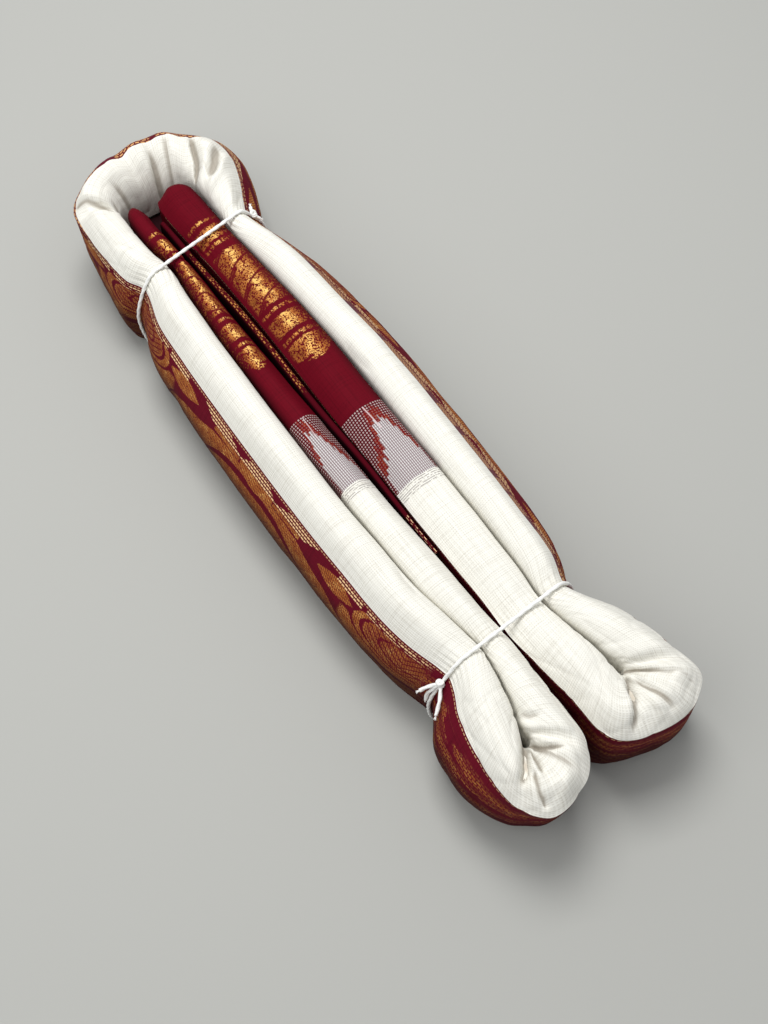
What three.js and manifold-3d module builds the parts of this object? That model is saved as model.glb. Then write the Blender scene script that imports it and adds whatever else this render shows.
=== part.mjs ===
// A cotton saree, folded lengthwise into one long strip that stands on its edge, laid to and fro
// in four arms, and tied twice with cotton thread.
//
// The strip runs: folded end - left inner arm - left turn - left outer arm - head turn -
// right outer arm - right turn - right inner arm - folded end. Its "rim" is always the side that
// shows outside, its "inner" side faces the next arm. Millimetres, +Z up, resting on Z = 0.

import * as THREE from "three";
import { mergeVertices } from "three/addons/utils/BufferGeometryUtils.js";
import Module from "manifold-3d";

const wasm = await Module();
wasm.setup();

// ---- Driving sizes -------------------------------------------------------------------------

const CLOTH = 1.4; // thickness of a panel that shows, a few soft layers of the cloth
const SEAM = 0.3; // gap between panels, and between a panel and what lies under it
const CENTRE = { x: -6.5, y: -8.0 }; // middle of the bundle in the frame of the tables below

const BELLY_Z = 25; // height at which an outer wall bulges most
const ARM_HEM = 20; // lowest edge of the walls along the middle gap
const CREASE_DEPTH = 16; // how far an inner wall reaches down into a crease
const CREASE_HEM = 21; // and the lowest that it gets

const THREAD = 1.9; // diameter of the tying thread
const THREAD_CLEARANCE = 0.7;
const THREAD_SIDES = 6;
const THREAD_ROOM = { near: [-2, 0, 2], sides: 12 }; // sections and angles that its loop clears
const THREAD_STEP = 1.6; // least distance between the bends of a thread
const TIE_LIFT = 3.4; // the underside is drawn up by this where a thread passes under it
const TIE_LIFT_REACH = 7;
const LEVEL = 0.05; // a lift smaller than this is left out, so that the underside lies flat

const BED = { bottom: 3, top: 19 }; // hidden layers that join the arms under the creases
const CORE_GAP = 0.8; // hidden layers keep this far under the panels
const CORE_INNER_INSET = 3; // and this far from an inner edge
const CORE_TURN_DROP = 5; // and lie this much lower under the pleats of a turn
const CORE_END = 1; // they also stop this far short of each end of a stretch
const NOTCH_SHARE = 0.1; // most of the width that half a notch takes
const LAYER_NOTCH = { width: 1.4, depth: 1.6, places: [0.34, 0.68] }; // edges of layers, underneath

const TIP_ROUND = 10; // length over which a folded end rounds off
const TIP_DROP = 9; // and how far its crest falls
const TIP_START = 0.15;
const TIP_HOLLOW_PAST = 1; // a folded end's hollow runs this far past its open side and hem
const TIP_WALL_STEPS = [0, 0.5];

const COLOURS = {
  body: 0xf2efe6,
  border: 0x5c1422,
  pallu: 0x730c1e,
  join: 0xb08088,
  hidden: 0xd9d2c4,
  thread: 0xf7f5ef,
};

// ---- Sections of the strip -------------------------------------------------------------------
// rimX, rimY: the outer top edge; inX, inY: the edge along the crease; rimZ, crest, inZ: heights
// of the outer edge, of the top of the fold and of the crease edge; bulge: how far the outer wall
// swells past the rim; foot: how far its foot stands past the rim; peak: where the crest lies,
// as a share of the width.

const COLUMNS = ["rimX", "rimY", "inX", "inY", "rimZ", "crest", "inZ", "bulge", "foot", "peak"];

const LEFT_INNER = [
  [-154.5, -19.3, -154.5, -27.6, 43.0, 48.5, 44.0, 0, 0, 0.5],
  [-140.0, -19.6, -140.0, -28.5, 43.5, 49.0, 44.5, 0, 0, 0.5],
  [-128.0, -18.8, -128.0, -27.9, 43.5, 49.0, 44.5, 0, 0, 0.5],
  [-115.4, -18.3, -114.5, -25.2, 43.0, 48.0, 44.0, 0, 0, 0.5],
  [-100.0, -17.9, -99.5, -26.9, 44.0, 49.5, 45.0, 0, 0, 0.5],
  [-80.0, -17.9, -80.0, -28.2, 44.0, 50.0, 45.0, 0, 0, 0.5],
  [-40.0, -17.2, -40.0, -29.6, 44.0, 50.0, 45.0, 0, 0, 0.5],
  [0.0, -16.1, 0.0, -30.2, 44.0, 50.0, 45.0, 0, 0, 0.5],
  [40.0, -15.3, 40.0, -29.6, 44.0, 50.5, 45.0, 0, 0, 0.5],
  [75.0, -13.6, 75.0, -28.6, 44.0, 50.5, 45.0, 0, 0, 0.5],
  [95.0, -12.6, 95.2, -25.0, 43.5, 50.0, 44.5, 0, 0, 0.5],
  [108.4, -11.8, 108.9, -22.9, 43.0, 48.5, 44.0, 0, 0, 0.5],
];

const LEFT_TURN = [
  [122.0, -11.8, 121.5, -25.0, 43.5, 51.0, 45.0, 0, 0, 0.5],
  [137.0, -12.1, 132.0, -27.3, 44.0, 53.0, 46.0, 0, 0, 0.5],
  [149.0, -12.3, 140.5, -29.8, 44.0, 53.5, 46.0, 0, 0, 0.45],
  [159.5, -12.8, 144.8, -30.4, 44.0, 54.0, 46.0, 0, -1, 0.4],
  [167.6, -16.4, 147.4, -30.2, 44.0, 54.0, 45.0, -0.5, -5.0, 0.4],
  [173.4, -22.0, 148.8, -30.6, 44.0, 54.0, 44.0, -1.0, -6.0, 0.4],
  [176.5, -29.0, 149.6, -31.2, 44.0, 54.0, 43.0, -1.5, -8.0, 0.4],
  [177.9, -36.5, 149.8, -31.9, 44.0, 54.0, 43.0, -2.5, -10.5, 0.4],
  [177.0, -42.6, 149.6, -32.6, 44.0, 54.0, 44.0, -3.0, -11.0, 0.4],
  [172.3, -47.6, 148.8, -33.2, 44.0, 54.0, 45.0, -2.0, -10.0, 0.4],
  [165.5, -51.0, 147.2, -33.2, 44.0, 54.0, 46.0, 1.0, -6.0, 0.4],
  [156.0, -52.0, 144.5, -32.2, 44.0, 54.0, 46.0, 5.0, -1.0, 0.42],
  [145.0, -51.2, 139.0, -30.0, 44.0, 54.0, 46.0, 8.5, 3.5, 0.45],
  [134.0, -49.3, 131.0, -27.7, 44.0, 54.0, 46.0, 10.0, 6.0, 0.5],
  [124.0, -46.2, 122.5, -25.9, 43.5, 53.0, 45.5, 11, 7, 0.5],
  [116.5, -42.2, 115.0, -24.6, 43.0, 51.0, 45.0, 10, 6, 0.5],
  [109.8, -40.2, 109.0, -23.6, 42.0, 49.0, 44.0, 8, 4.5, 0.5],
];

const LEFT_OUTER = [
  [90.0, -45.4, 89.5, -26.6, 42.0, 51.5, 45.0, 8.0, 4.0, 0.5],
  [75.0, -47.7, 75.0, -29.2, 42.0, 52.0, 45.0, 8.3, 3.5, 0.5],
  [50.0, -48.6, 50.0, -30.3, 42.0, 52.0, 45.0, 8.6, 3.5, 0.5],
  [20.0, -49.1, 20.0, -31.1, 42.0, 52.0, 45.0, 8.6, 3.5, 0.5],
  [-10.0, -49.1, -10.0, -31.0, 42.0, 52.0, 45.0, 8.6, 3.5, 0.5],
  [-40.0, -48.5, -40.0, -30.5, 42.0, 52.0, 45.0, 8.6, 3.5, 0.5],
  [-70.0, -47.4, -70.0, -29.9, 42.0, 52.0, 45.0, 8.3, 3.5, 0.5],
  [-92.0, -46.1, -93.0, -28.6, 42.0, 51.5, 45.0, 7.5, 3.0, 0.5],
  [-112.6, -41.5, -114.4, -26.8, 42.0, 49.0, 44.0, 5.5, 2.0, 0.5],
];

const HEAD_TURN = [
  [-122.0, -45.6, -124.0, -28.8, 42.5, 51.5, 45.0, 6.0, 2.0, 0.5],
  [-140.0, -47.1, -138.0, -29.6, 43.0, 52.0, 45.0, 3.0, -1.0, 0.5],
  [-158.0, -47.3, -149.0, -29.3, 43.0, 52.5, 44.0, 0.5, -4.0, 0.48],
  [-168.0, -45.6, -156.5, -28.0, 43.0, 52.5, 40.0, -1.5, -7.0, 0.4],
  [-174.5, -39.8, -159.6, -25.0, 43.0, 52.5, 33.0, -1.5, -8.5, 0.32],
  [-180.0, -30.0, -161.0, -20.0, 43.0, 53.0, 29.0, 3.0, -5.0, 0.3],
  [-183.2, -18.0, -161.4, -14.0, 43.0, 53.0, 28.0, 8.0, -1.0, 0.28],
  [-183.8, -3.0, -161.0, -6.0, 43.0, 53.0, 29.0, 10.0, 2.0, 0.28],
  [-182.6, 8.5, -159.5, -0.5, 43.0, 53.0, 31.0, 10.0, 3.0, 0.3],
  [-178.0, 16.4, -157.0, 3.8, 43.0, 53.0, 34.0, 9.8, 3.0, 0.33],
  [-170.5, 24.8, -153.0, 6.6, 43.0, 53.0, 38.0, 9.3, 3.0, 0.38],
  [-164.0, 29.5, -148.0, 7.6, 43.0, 53.0, 42.0, 8.5, 3.0, 0.42],
  [-152.0, 30.4, -141.0, 7.6, 43.0, 53.0, 44.0, 8.5, 4.0, 0.45],
  [-138.0, 26.1, -132.0, 7.4, 42.5, 52.0, 45.0, 9.0, 5.0, 0.5],
  [-127.0, 20.9, -124.5, 7.2, 42.0, 50.5, 44.5, 9.0, 5.0, 0.5],
  [-119.8, 18.4, -118.4, 6.8, 42.0, 49.0, 44.0, 7.0, 3.0, 0.5],
];

const RIGHT_OUTER = [
  [-102.5, 23.0, -102.0, 7.7, 42.0, 51.0, 45.0, 7.5, 3.5, 0.5],
  [-86.0, 26.3, -86.0, 8.8, 42.0, 52.0, 45.0, 8.5, 4.0, 0.5],
  [-60.0, 28.6, -60.0, 10.4, 42.0, 52.0, 45.0, 9.0, 4.0, 0.5],
  [-30.0, 30.3, -30.0, 11.5, 42.0, 52.0, 45.0, 9.0, 4.0, 0.5],
  [5.0, 30.2, 5.0, 11.2, 42.0, 52.0, 45.0, 9.0, 4.0, 0.5],
  [40.0, 29.3, 40.0, 11.2, 42.0, 52.0, 45.0, 8.5, 3.5, 0.5],
  [72.0, 27.8, 72.0, 10.8, 42.0, 52.0, 45.0, 8.0, 3.5, 0.5],
  [92.0, 26.0, 92.0, 10.1, 42.0, 51.0, 45.0, 6.5, 3.0, 0.5],
  [106.8, 21.2, 107.4, 9.1, 42.0, 49.0, 44.0, 4.5, 1.0, 0.5],
];

const RIGHT_TURN = [
  [114.1, 24.0, 114.5, 9.9, 43.0, 51.5, 45.0, 4.5, 1.5, 0.5],
  [124.1, 29.9, 122.0, 11.2, 44.0, 53.0, 46.0, 4.5, 2.0, 0.5],
  [134.1, 33.9, 131.0, 12.9, 44.0, 54.0, 46.0, 4.5, 2.0, 0.5],
  [144.1, 36.9, 139.0, 14.2, 44.0, 54.0, 46.0, 4.5, 2.0, 0.45],
  [154.1, 38.7, 144.5, 15.6, 44.0, 54.0, 46.0, 4.0, 1.0, 0.42],
  [163.2, 40.1, 147.0, 16.2, 44.0, 54.0, 46.0, 3.0, 0, 0.4],
  [168.0, 38.8, 148.2, 15.9, 44.0, 54.0, 45.0, 2.0, -1, 0.4],
  [172.0, 34.0, 148.8, 15.3, 44.0, 54.0, 44.0, 0.5, -3, 0.4],
  [175.4, 27.5, 149.0, 14.7, 44.0, 54.0, 43.0, 1, -4, 0.4],
  [176.0, 19.5, 149.0, 14.0, 44.0, 54.0, 43.0, 1, -4, 0.4],
  [174.6, 10.0, 148.6, 13.3, 44.0, 54.0, 44.0, 0, -4, 0.4],
  [172.2, 2.0, 147.8, 12.8, 44.0, 54.0, 45.0, 0, -4, 0.4],
  [168.0, -4.2, 146.5, 12.6, 44.0, 54.0, 46.0, 0, -3, 0.4],
  [160.7, -7.1, 143.5, 12.7, 44.0, 54.0, 46.0, 0, -1, 0.42],
  [150.0, -7.6, 139.0, 12.5, 44.0, 53.5, 46.0, 0, 0, 0.45],
  [138.0, -8.6, 131.0, 11.6, 44.0, 53.0, 46.0, 0, 0, 0.5],
  [124.0, -9.9, 121.5, 10.2, 43.5, 51.0, 45.0, 0, 0, 0.5],
  [108.3, -10.8, 107.5, 8.3, 43.0, 48.5, 44.0, 0, 0, 0.5],
];

const RIGHT_INNER = [
  [90.0, -10.7, 90.0, 9.2, 44.0, 50.0, 45.0, 0, 0, 0.5],
  [55.0, -11.0, 55.0, 10.0, 44.0, 50.5, 45.0, 0, 0, 0.5],
  [15.0, -11.0, 15.0, 10.3, 44.0, 50.5, 45.0, 0, 0, 0.5],
  [-25.0, -11.0, -25.0, 10.2, 44.0, 50.5, 45.0, 0, 0, 0.5],
  [-60.0, -10.6, -60.0, 9.5, 44.0, 50.0, 45.0, 0, 0, 0.5],
  [-85.0, -10.6, -85.0, 8.1, 44.0, 50.0, 45.0, 0, 0, 0.5],
  [-105.0, -11.1, -105.0, 6.7, 44.0, 49.5, 44.5, 0, 0, 0.5],
  [-116.3, -11.6, -118.3, 6.1, 43.0, 48.5, 44.0, 0, 0, 0.5],
  [-130.0, -12.8, -130.0, 5.6, 43.5, 49.0, 44.5, 0, 0, 0.5],
  [-142.0, -13.2, -142.0, 5.2, 43.5, 49.0, 44.5, 0, 0, 0.5],
  [-155.5, -12.0, -155.5, 4.0, 43.0, 48.5, 44.0, 0, 0, 0.5],
];

// Pleats and gathers. turn: the stretch; rim, inner: the row, counted along that stretch, that
// the crease meets at its outer and inner end; depth, width: of the trough (a ridge is negative);
// from, to: the share of the width that it covers, counted from the rim.

const PLEATS = [
  { turn: "head", rim: 3.4, inner: 3.9, depth: 4.0, width: 3.0, from: 0.1, to: 1 },
  { turn: "head", rim: 2.6, inner: 3.0, depth: 1.2, width: 3.5, from: 0.45, to: 1 },
  { turn: "head", rim: 7.2, inner: 7.4, depth: 2.6, width: 4.0, from: 0.1, to: 0.95 },
  { turn: "head", rim: 8.4, inner: 8.7, depth: 2.0, width: 3.5, from: 0.15, to: 1 },
  { turn: "head", rim: 10.0, inner: 11.4, depth: 2.4, width: 4.0, from: 0.15, to: 1 },
  { turn: "head", rim: 12.2, inner: 12.4, depth: -1.6, width: 3.5, from: 0.15, to: 1 },
  { turn: "leftTurn", rim: 4.6, inner: 4.9, depth: 3.4, width: 2.6, from: 0.2, to: 1 },
  { turn: "leftTurn", rim: 5.9, inner: 6.0, depth: 1.8, width: 2.4, from: 0.05, to: 0.9 },
  { turn: "leftTurn", rim: 7.4, inner: 7.3, depth: 1.8, width: 2.6, from: 0.3, to: 0.95 },
  { turn: "leftTurn", rim: 8.6, inner: 8.3, depth: 2.2, width: 2.6, from: 0.05, to: 0.7 },
  { turn: "leftTurn", rim: 10.6, inner: 10.0, depth: 3.8, width: 3.0, from: 0.05, to: 1 },
  { turn: "rightTurn", rim: 5.6, inner: 6.0, depth: 3.8, width: 3.0, from: 0.15, to: 1 },
  { turn: "rightTurn", rim: 8.4, inner: 8.2, depth: 2.2, width: 2.6, from: 0.02, to: 0.85 },
  { turn: "rightTurn", rim: 9.6, inner: 9.4, depth: 1.4, width: 2.0, from: 0.5, to: 0.95 },
  { turn: "rightTurn", rim: 11.4, inner: 10.4, depth: 3.2, width: 3.0, from: 0.05, to: 1 },
];

// The thin fold that stands in the middle gap. x, y: its middle line; half: half its thickness;
// crest: its top.
const MIDDLE_FOLD = [
  { x: -139, y: -16.2, half: 1.3, crest: 43.5 },
  { x: -125, y: -15.8, half: 1.5, crest: 44.5 },
  { x: -110, y: -15.0, half: 1.5, crest: 44.0 },
  { x: -83, y: -14.3, half: 1.6, crest: 46.0 },
  { x: -45, y: -14.0, half: 1.6, crest: 46.5 },
  { x: 0, y: -13.6, half: 1.5, crest: 46.0 },
  { x: 40, y: -13.2, half: 1.1, crest: 45.5 },
  { x: 66, y: -12.6, half: 0.8, crest: 45.0 },
];
const MIDDLE_FOLD_SPLIT = 46; // the red end stretch becomes border at this x
const MIDDLE_FOLD_STEP = 18;
const MIDDLE_FOLD_ROUND = [[1, 2.2], [0.7, 0.7]]; // share of its half width, depth under its top

// Outline of the bed of hidden layers, under all four arms.
const BED_OUTLINE = [
  [-160, -36], [-120, -37], [-113, -33], [-95, -37], [0, -40], [85, -37], [104, -32],
  [104, 13], [85, 18], [0, 22], [-95, 16], [-117, 11], [-145, 18], [-165, 14], [-172, -10],
];

// Where colours change along the inner arms, as x in the frame of the tables.
const BANDS = {
  left: { end: -139, pallu: -14.7, join: 23.2 },
  right: { end: -141, pallu: -4.0, join: 35.8 },
};

// The two ties. x, slant: the line across the top, x = x0 + slant * y.
const TIES = {
  upper: { x: -117.6, slant: -0.12 },
  lower: { x: 107.8, slant: -0.05 },
};

// Knots. crossing: which pass of the strip under the thread holds the knot, counted along the
// strip; height: its place on the outer wall, as a share from floor to rim; ends: the free ends,
// each as rows of [distance along the strip from the tie, share of the wall's height, distance
// off the wall].
const KNOT_RADIUS = 1.9;
const KNOT_OUT = 0.9; // how far a knot sits outside its loop
const KNOTS = {
  upper: {
    crossing: 4,
    height: 0.97,
    ends: [
      [[-2.5, 0.97, 2.2], [-4.5, 0.985, 2.6], [-6.5, 0.99, 3.0]],
      [[1.5, 0.95, 2.4], [3.0, 0.93, 2.8], [4.2, 0.9, 3.2]],
    ],
  },
  lower: {
    crossing: 2,
    height: 0.93,
    ends: [
      [[1.5, 0.9, 2.8], [2.8, 0.87, 4.2], [3.8, 0.83, 5.6]],
      [[-3.0, 0.91, 2.0], [-7.0, 0.85, 1.6], [-12.0, 0.76, 1.6]],
      [[-2.2, 0.86, 2.0], [-5.5, 0.78, 1.6], [-9.0, 0.7, 1.6]],
    ],
  },
};

// How finely the panels are divided, from rim to foot and from rim to crease.
const WALL_STEPS = [0, 0.22, 0.43, 0.62, 0.82, 1];
const TOP_STEPS = [0, 0.14, 0.3, 0.5, 0.68, 0.84, 0.95, 1];
const CORE_WALL_STEPS = [0, 0.35, 0.62, 1];
const CORE_TOP_STEPS = [0, 0.25, 0.5, 0.75, 1];
const TIP_STEPS = [0, 0.06, 0.18, 0.38, 0.66, 1];
const STATION_GAP = 1.4; // least distance between two sections of a panel
const PLEAT_SIDE = 1.1; // a pleat's sides are cut this many widths from its middle
const PLEAT_FADE = { before: 0.12, after: 0.18, past: 0.2 }; // shares over which it begins and ends
const RIM_SEAM = 1.2; // the seam under the rim, in seams
const UPPER_TIE_ROW = 3; // row of an inner arm, from its folded end, under the upper tie

// ---- The strip as one smooth run of sections ---------------------------------------------------

const NAMED_ROWS = {
  leftInner: LEFT_INNER,
  leftTurn: LEFT_TURN,
  leftOuter: LEFT_OUTER,
  head: HEAD_TURN,
  rightOuter: RIGHT_OUTER,
  rightTurn: RIGHT_TURN,
  rightInner: RIGHT_INNER,
};

const SECTIONS = [];
const SPANS = {};
for (const [name, rows] of Object.entries(NAMED_ROWS)) {
  const first = Math.max(0, SECTIONS.length - 1);
  for (const row of rows) {
    SECTIONS.push(Object.fromEntries(COLUMNS.map((column, i) => [column, row[i]])));
  }
  SPANS[name] = { first, last: SECTIONS.length - 1 };
}

const PLACES = [0];
for (let i = 1; i < SECTIONS.length; i++) {
  const a = SECTIONS[i - 1];
  const b = SECTIONS[i];
  const outer = Math.hypot(b.rimX - a.rimX, b.rimY - a.rimY);
  const inner = Math.hypot(b.inX - a.inX, b.inY - a.inY);
  PLACES.push(PLACES[i - 1] + (outer + inner) / 2);
}
const STRIP_LENGTH = PLACES[PLACES.length - 1];

// Distance along the strip of row number `row` of a stretch, which may be a fraction.
function distanceAt(name, row) {
  const place = SPANS[name].first + row;
  const i = Math.min(Math.floor(place), PLACES.length - 2);
  return THREE.MathUtils.lerp(PLACES[i], PLACES[i + 1], place - i);
}

// One column of the tables at distance s along the strip, on a smooth curve through its rows.
function columnAt(column, s) {
  let i = 0;
  while (i < PLACES.length - 2 && s > PLACES[i + 1]) i += 1;
  const slope = (k) => {
    const before = Math.max(0, k - 1);
    const after = Math.min(PLACES.length - 1, k + 1);
    return (SECTIONS[after][column] - SECTIONS[before][column]) / (PLACES[after] - PLACES[before]);
  };
  const span = PLACES[i + 1] - PLACES[i];
  const t = (s - PLACES[i]) / span;
  const p = SECTIONS[i][column];
  const q = SECTIONS[i + 1][column];
  return (
    p * (2 * t ** 3 - 3 * t ** 2 + 1) +
    q * (3 * t ** 2 - 2 * t ** 3) +
    span * slope(i) * (t ** 3 - 2 * t ** 2 + t) +
    span * slope(i + 1) * (t ** 3 - t ** 2)
  );
}

const TIE_DISTANCES = [
  PLACES[UPPER_TIE_ROW],
  ...["leftInner", "leftTurn", "leftOuter", "head", "rightOuter", "rightTurn"].map(
    (name) => PLACES[SPANS[name].last],
  ),
  PLACES[PLACES.length - 1 - UPPER_TIE_ROW],
];

// A section at distance s, its edges drawn in by `inset` and its folded end rounded off.
function sectionAt(s, inset, innerInset = inset, sink = 0) {
  const row = Object.fromEntries(COLUMNS.map((column) => [column, columnAt(column, s)]));
  const fromEnd = Math.min(s, STRIP_LENGTH - s);
  const round = fromEnd < TIP_ROUND ? Math.sqrt(1 - (1 - fromEnd / TIP_ROUND) ** 2) : 1;
  const fullWidth = Math.hypot(row.inX - row.rimX, row.inY - row.rimY);
  const across = [(row.inX - row.rimX) / fullWidth, (row.inY - row.rimY) / fullWidth];
  const narrow = (fullWidth * (1 - round)) / 2;
  const start = narrow + inset;
  const width = fullWidth - 2 * narrow - inset - innerInset;
  const drop = TIP_DROP * (1 - round) + inset;
  const lift = TIE_DISTANCES.reduce(
    (sum, tie) => sum + TIE_LIFT * Math.exp(-(((s - tie) / TIE_LIFT_REACH) ** 2)),
    0,
  );
  return {
    s,
    origin: [row.rimX + across[0] * start - CENTRE.x, row.rimY + across[1] * start - CENTRE.y],
    across,
    width,
    rimZ: row.rimZ - drop,
    crest: row.crest - drop - sink,
    inZ: row.inZ - drop - sink,
    bulge: row.bulge,
    foot: row.foot,
    peak: row.peak,
    lift: lift < LEVEL ? 0 : lift,
  };
}

function pointOn(section, a, z) {
  return [section.origin[0] + section.across[0] * a, section.origin[1] + section.across[1] * a, z];
}

// Outer wall at share f of its height, from the hem to the rim.
function wallPoint(section, f, hem) {
  const low = Math.max(hem, section.lift);
  const z = low + f * (section.rimZ - low);
  let out;
  if (z > BELLY_Z) {
    out = section.bulge * Math.cos((Math.PI / 2) * ((z - BELLY_Z) / (section.rimZ - BELLY_Z)));
  } else {
    out = section.bulge - (section.bulge - section.foot) * ((BELLY_Z - z) / BELLY_Z) ** 2;
  }
  return pointOn(section, -out, z);
}

function pleatDepth(s, q) {
  let depth = 0;
  for (const pleat of PLEATS) {
    const atRim = distanceAt(pleat.turn, pleat.rim);
    const atInner = distanceAt(pleat.turn, pleat.inner);
    const middle = THREE.MathUtils.lerp(atRim, atInner, q);
    const { before, after, past } = PLEAT_FADE;
    const start = THREE.MathUtils.smoothstep(q, pleat.from - before, pleat.from + after);
    const end = 1 - THREE.MathUtils.smoothstep(q, pleat.to, pleat.to + past);
    depth += pleat.depth * start * end * Math.exp(-(((s - middle) / pleat.width) ** 2));
  }
  return depth;
}

// Top of the fold at share q of the width, from the rim to the crease edge.
function topPoint(section, q, pleated = true) {
  const { rimZ, crest, inZ, peak } = section;
  let z;
  if (q < peak) {
    z = rimZ + (crest - rimZ) * Math.sin((Math.PI / 2) * (q / peak));
  } else {
    z = inZ + (crest - inZ) * Math.sqrt(Math.max(0, 1 - ((q - peak) / (1 - peak)) ** 2));
  }
  return pointOn(section, q * section.width, pleated ? z - pleatDepth(section.s, q) : z);
}

function creaseHem(section, inset) {
  return Math.max(CREASE_HEM, section.inZ + inset - CREASE_DEPTH);
}

// Distances at which a panel has its sections: its two ends, each row of the tables between
// them and, where the pleats count, three for each pleat.
function stations(from, to, withPleats) {
  const pleated = [];
  for (const pleat of withPleats ? PLEATS : []) {
    const middle = (distanceAt(pleat.turn, pleat.rim) + distanceAt(pleat.turn, pleat.inner)) / 2;
    for (const side of [-1, 0, 1]) pleated.push(middle + side * PLEAT_SIDE * pleat.width);
  }
  const inside = (s) => s > from + STATION_GAP && s < to - STATION_GAP;
  const clear = (s) => pleated.every((p) => Math.abs(p - s) > STATION_GAP);
  const places = [...pleated.filter(inside), ...PLACES.filter((s) => inside(s) && clear(s))];
  places.sort((a, b) => a - b);
  const spaced = places.filter((s, i) => i === 0 || s - places[i - 1] > STATION_GAP / 2);
  return [from, ...spaced, to];
}

// ---- Making closed meshes ----------------------------------------------------------------------

function geometryOf(points, triangles) {
  const geometry = new THREE.BufferGeometry();
  geometry.setAttribute("position", new THREE.Float32BufferAttribute(points.flat(), 3));
  geometry.setIndex(triangles.flat());
  return facingOut(mergeVertices(geometry, 1e-4));
}

function signedVolume(geometry) {
  const position = geometry.getAttribute("position");
  const index = geometry.getIndex();
  const [a, b, c] = [new THREE.Vector3(), new THREE.Vector3(), new THREE.Vector3()];
  let sum = 0;
  for (let i = 0; i < index.count; i += 3) {
    a.fromBufferAttribute(position, index.getX(i));
    b.fromBufferAttribute(position, index.getX(i + 1));
    c.fromBufferAttribute(position, index.getX(i + 2));
    sum += a.dot(b.cross(c)) / 6;
  }
  return sum;
}

function facingOut(geometry) {
  if (signedVolume(geometry) > 0) return geometry;
  const index = geometry.getIndex();
  for (let i = 0; i < index.count; i += 3) {
    const second = index.getX(i + 1);
    index.setX(i + 1, index.getX(i + 2));
    index.setX(i + 2, second);
  }
  return geometry;
}

// Closed wall between two grids of points of the same size.
function wallBetween(outer, inner) {
  const rows = outer.length;
  const columns = outer[0].length;
  const points = [...outer.flat(), ...inner.flat()];
  const at = (face, i, j) => face * rows * columns + i * columns + j;
  const triangles = [];
  const quad = (a, b, c, d) => triangles.push([a, b, c], [a, c, d]);
  for (let i = 0; i + 1 < rows; i++) {
    for (let j = 0; j + 1 < columns; j++) {
      quad(at(0, i, j), at(0, i + 1, j), at(0, i + 1, j + 1), at(0, i, j + 1));
      quad(at(1, i, j), at(1, i, j + 1), at(1, i + 1, j + 1), at(1, i + 1, j));
    }
  }
  for (let i = 0; i + 1 < rows; i++) {
    quad(at(0, i, 0), at(1, i, 0), at(1, i + 1, 0), at(0, i + 1, 0));
    const j = columns - 1;
    quad(at(0, i, j), at(0, i + 1, j), at(1, i + 1, j), at(1, i, j));
  }
  for (let j = 0; j + 1 < columns; j++) {
    quad(at(0, 0, j), at(0, 0, j + 1), at(1, 0, j + 1), at(1, 0, j));
    const i = rows - 1;
    quad(at(0, i, j), at(1, i, j), at(1, i, j + 1), at(0, i, j + 1));
  }
  return geometryOf(points, triangles);
}

// Closed solid swept through rings of points; its two ends are capped, or it closes on itself.
function sweptSolid(rings, { closed = false, cap = capRing } = {}) {
  const size = rings[0].length;
  const points = rings.flat();
  const triangles = [];
  const last = closed ? rings.length : rings.length - 1;
  for (let i = 0; i < last; i++) {
    const next = (i + 1) % rings.length;
    for (let j = 0; j < size; j++) {
      const k = (j + 1) % size;
      triangles.push([i * size + j, next * size + j, next * size + k]);
      triangles.push([i * size + j, next * size + k, i * size + k]);
    }
  }
  if (!closed) {
    cap(rings[0], 0, false, triangles);
    cap(rings[rings.length - 1], (rings.length - 1) * size, true, triangles);
  }
  return geometryOf(points, triangles);
}

// Fills a flat upright ring with triangles.
function capRing(ring, offset, forward, triangles) {
  const [x0, y0] = ring[0];
  const far = ring.reduce((best, p) =>
    Math.hypot(p[0] - x0, p[1] - y0) > Math.hypot(best[0] - x0, best[1] - y0) ? p : best,
  );
  const reach = Math.hypot(far[0] - x0, far[1] - y0);
  const along = [(far[0] - x0) / reach, (far[1] - y0) / reach];
  const flat = ring.map(
    (p) => new THREE.Vector2((p[0] - x0) * along[0] + (p[1] - y0) * along[1], p[2]),
  );
  const ringTurn = Math.sign(THREE.ShapeUtils.area(flat));
  for (const [a, b, c] of THREE.ShapeUtils.triangulateShape(flat, [])) {
    const faceTurn = Math.sign(THREE.ShapeUtils.area([flat[a], flat[b], flat[c]]));
    const face = (faceTurn === ringTurn) === forward ? [a, c, b] : [a, b, c];
    triangles.push(face.map((i) => i + offset));
  }
}

// Fills a round ring with triangles from its first point.
function fanCap(ring, offset, forward, triangles) {
  for (let j = 1; j + 1 < ring.length; j++) {
    triangles.push((forward ? [0, j + 1, j] : [0, j, j + 1]).map((i) => i + offset));
  }
}

function manifoldOf(geometry) {
  const mesh = new wasm.Mesh({
    numProp: 3,
    vertProperties: new Float32Array(geometry.getAttribute("position").array),
    triVerts: new Uint32Array(geometry.getIndex().array),
  });
  return new wasm.Manifold(mesh);
}

function geometryFrom(manifold) {
  const mesh = manifold.getMesh();
  const geometry = new THREE.BufferGeometry();
  geometry.setAttribute("position", new THREE.Float32BufferAttribute(mesh.vertProperties, 3));
  geometry.setIndex(Array.from(mesh.triVerts));
  return geometry;
}

// ---- Panels ---------------------------------------------------------------------------------

function topPanel(from, to, withPleats) {
  const places = stations(from, to, withPleats);
  const face = (inset) =>
    places.map((s) => {
      const section = sectionAt(s, inset);
      const points = TOP_STEPS.map((q) => topPoint(section, q));
      const low = creaseHem(section, inset);
      const edge = points[points.length - 1][2];
      points.push(pointOn(section, section.width, (edge + low) / 2));
      points.push(pointOn(section, section.width, low));
      return points;
    });
  return wallBetween(face(0), face(CLOTH));
}

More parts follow.
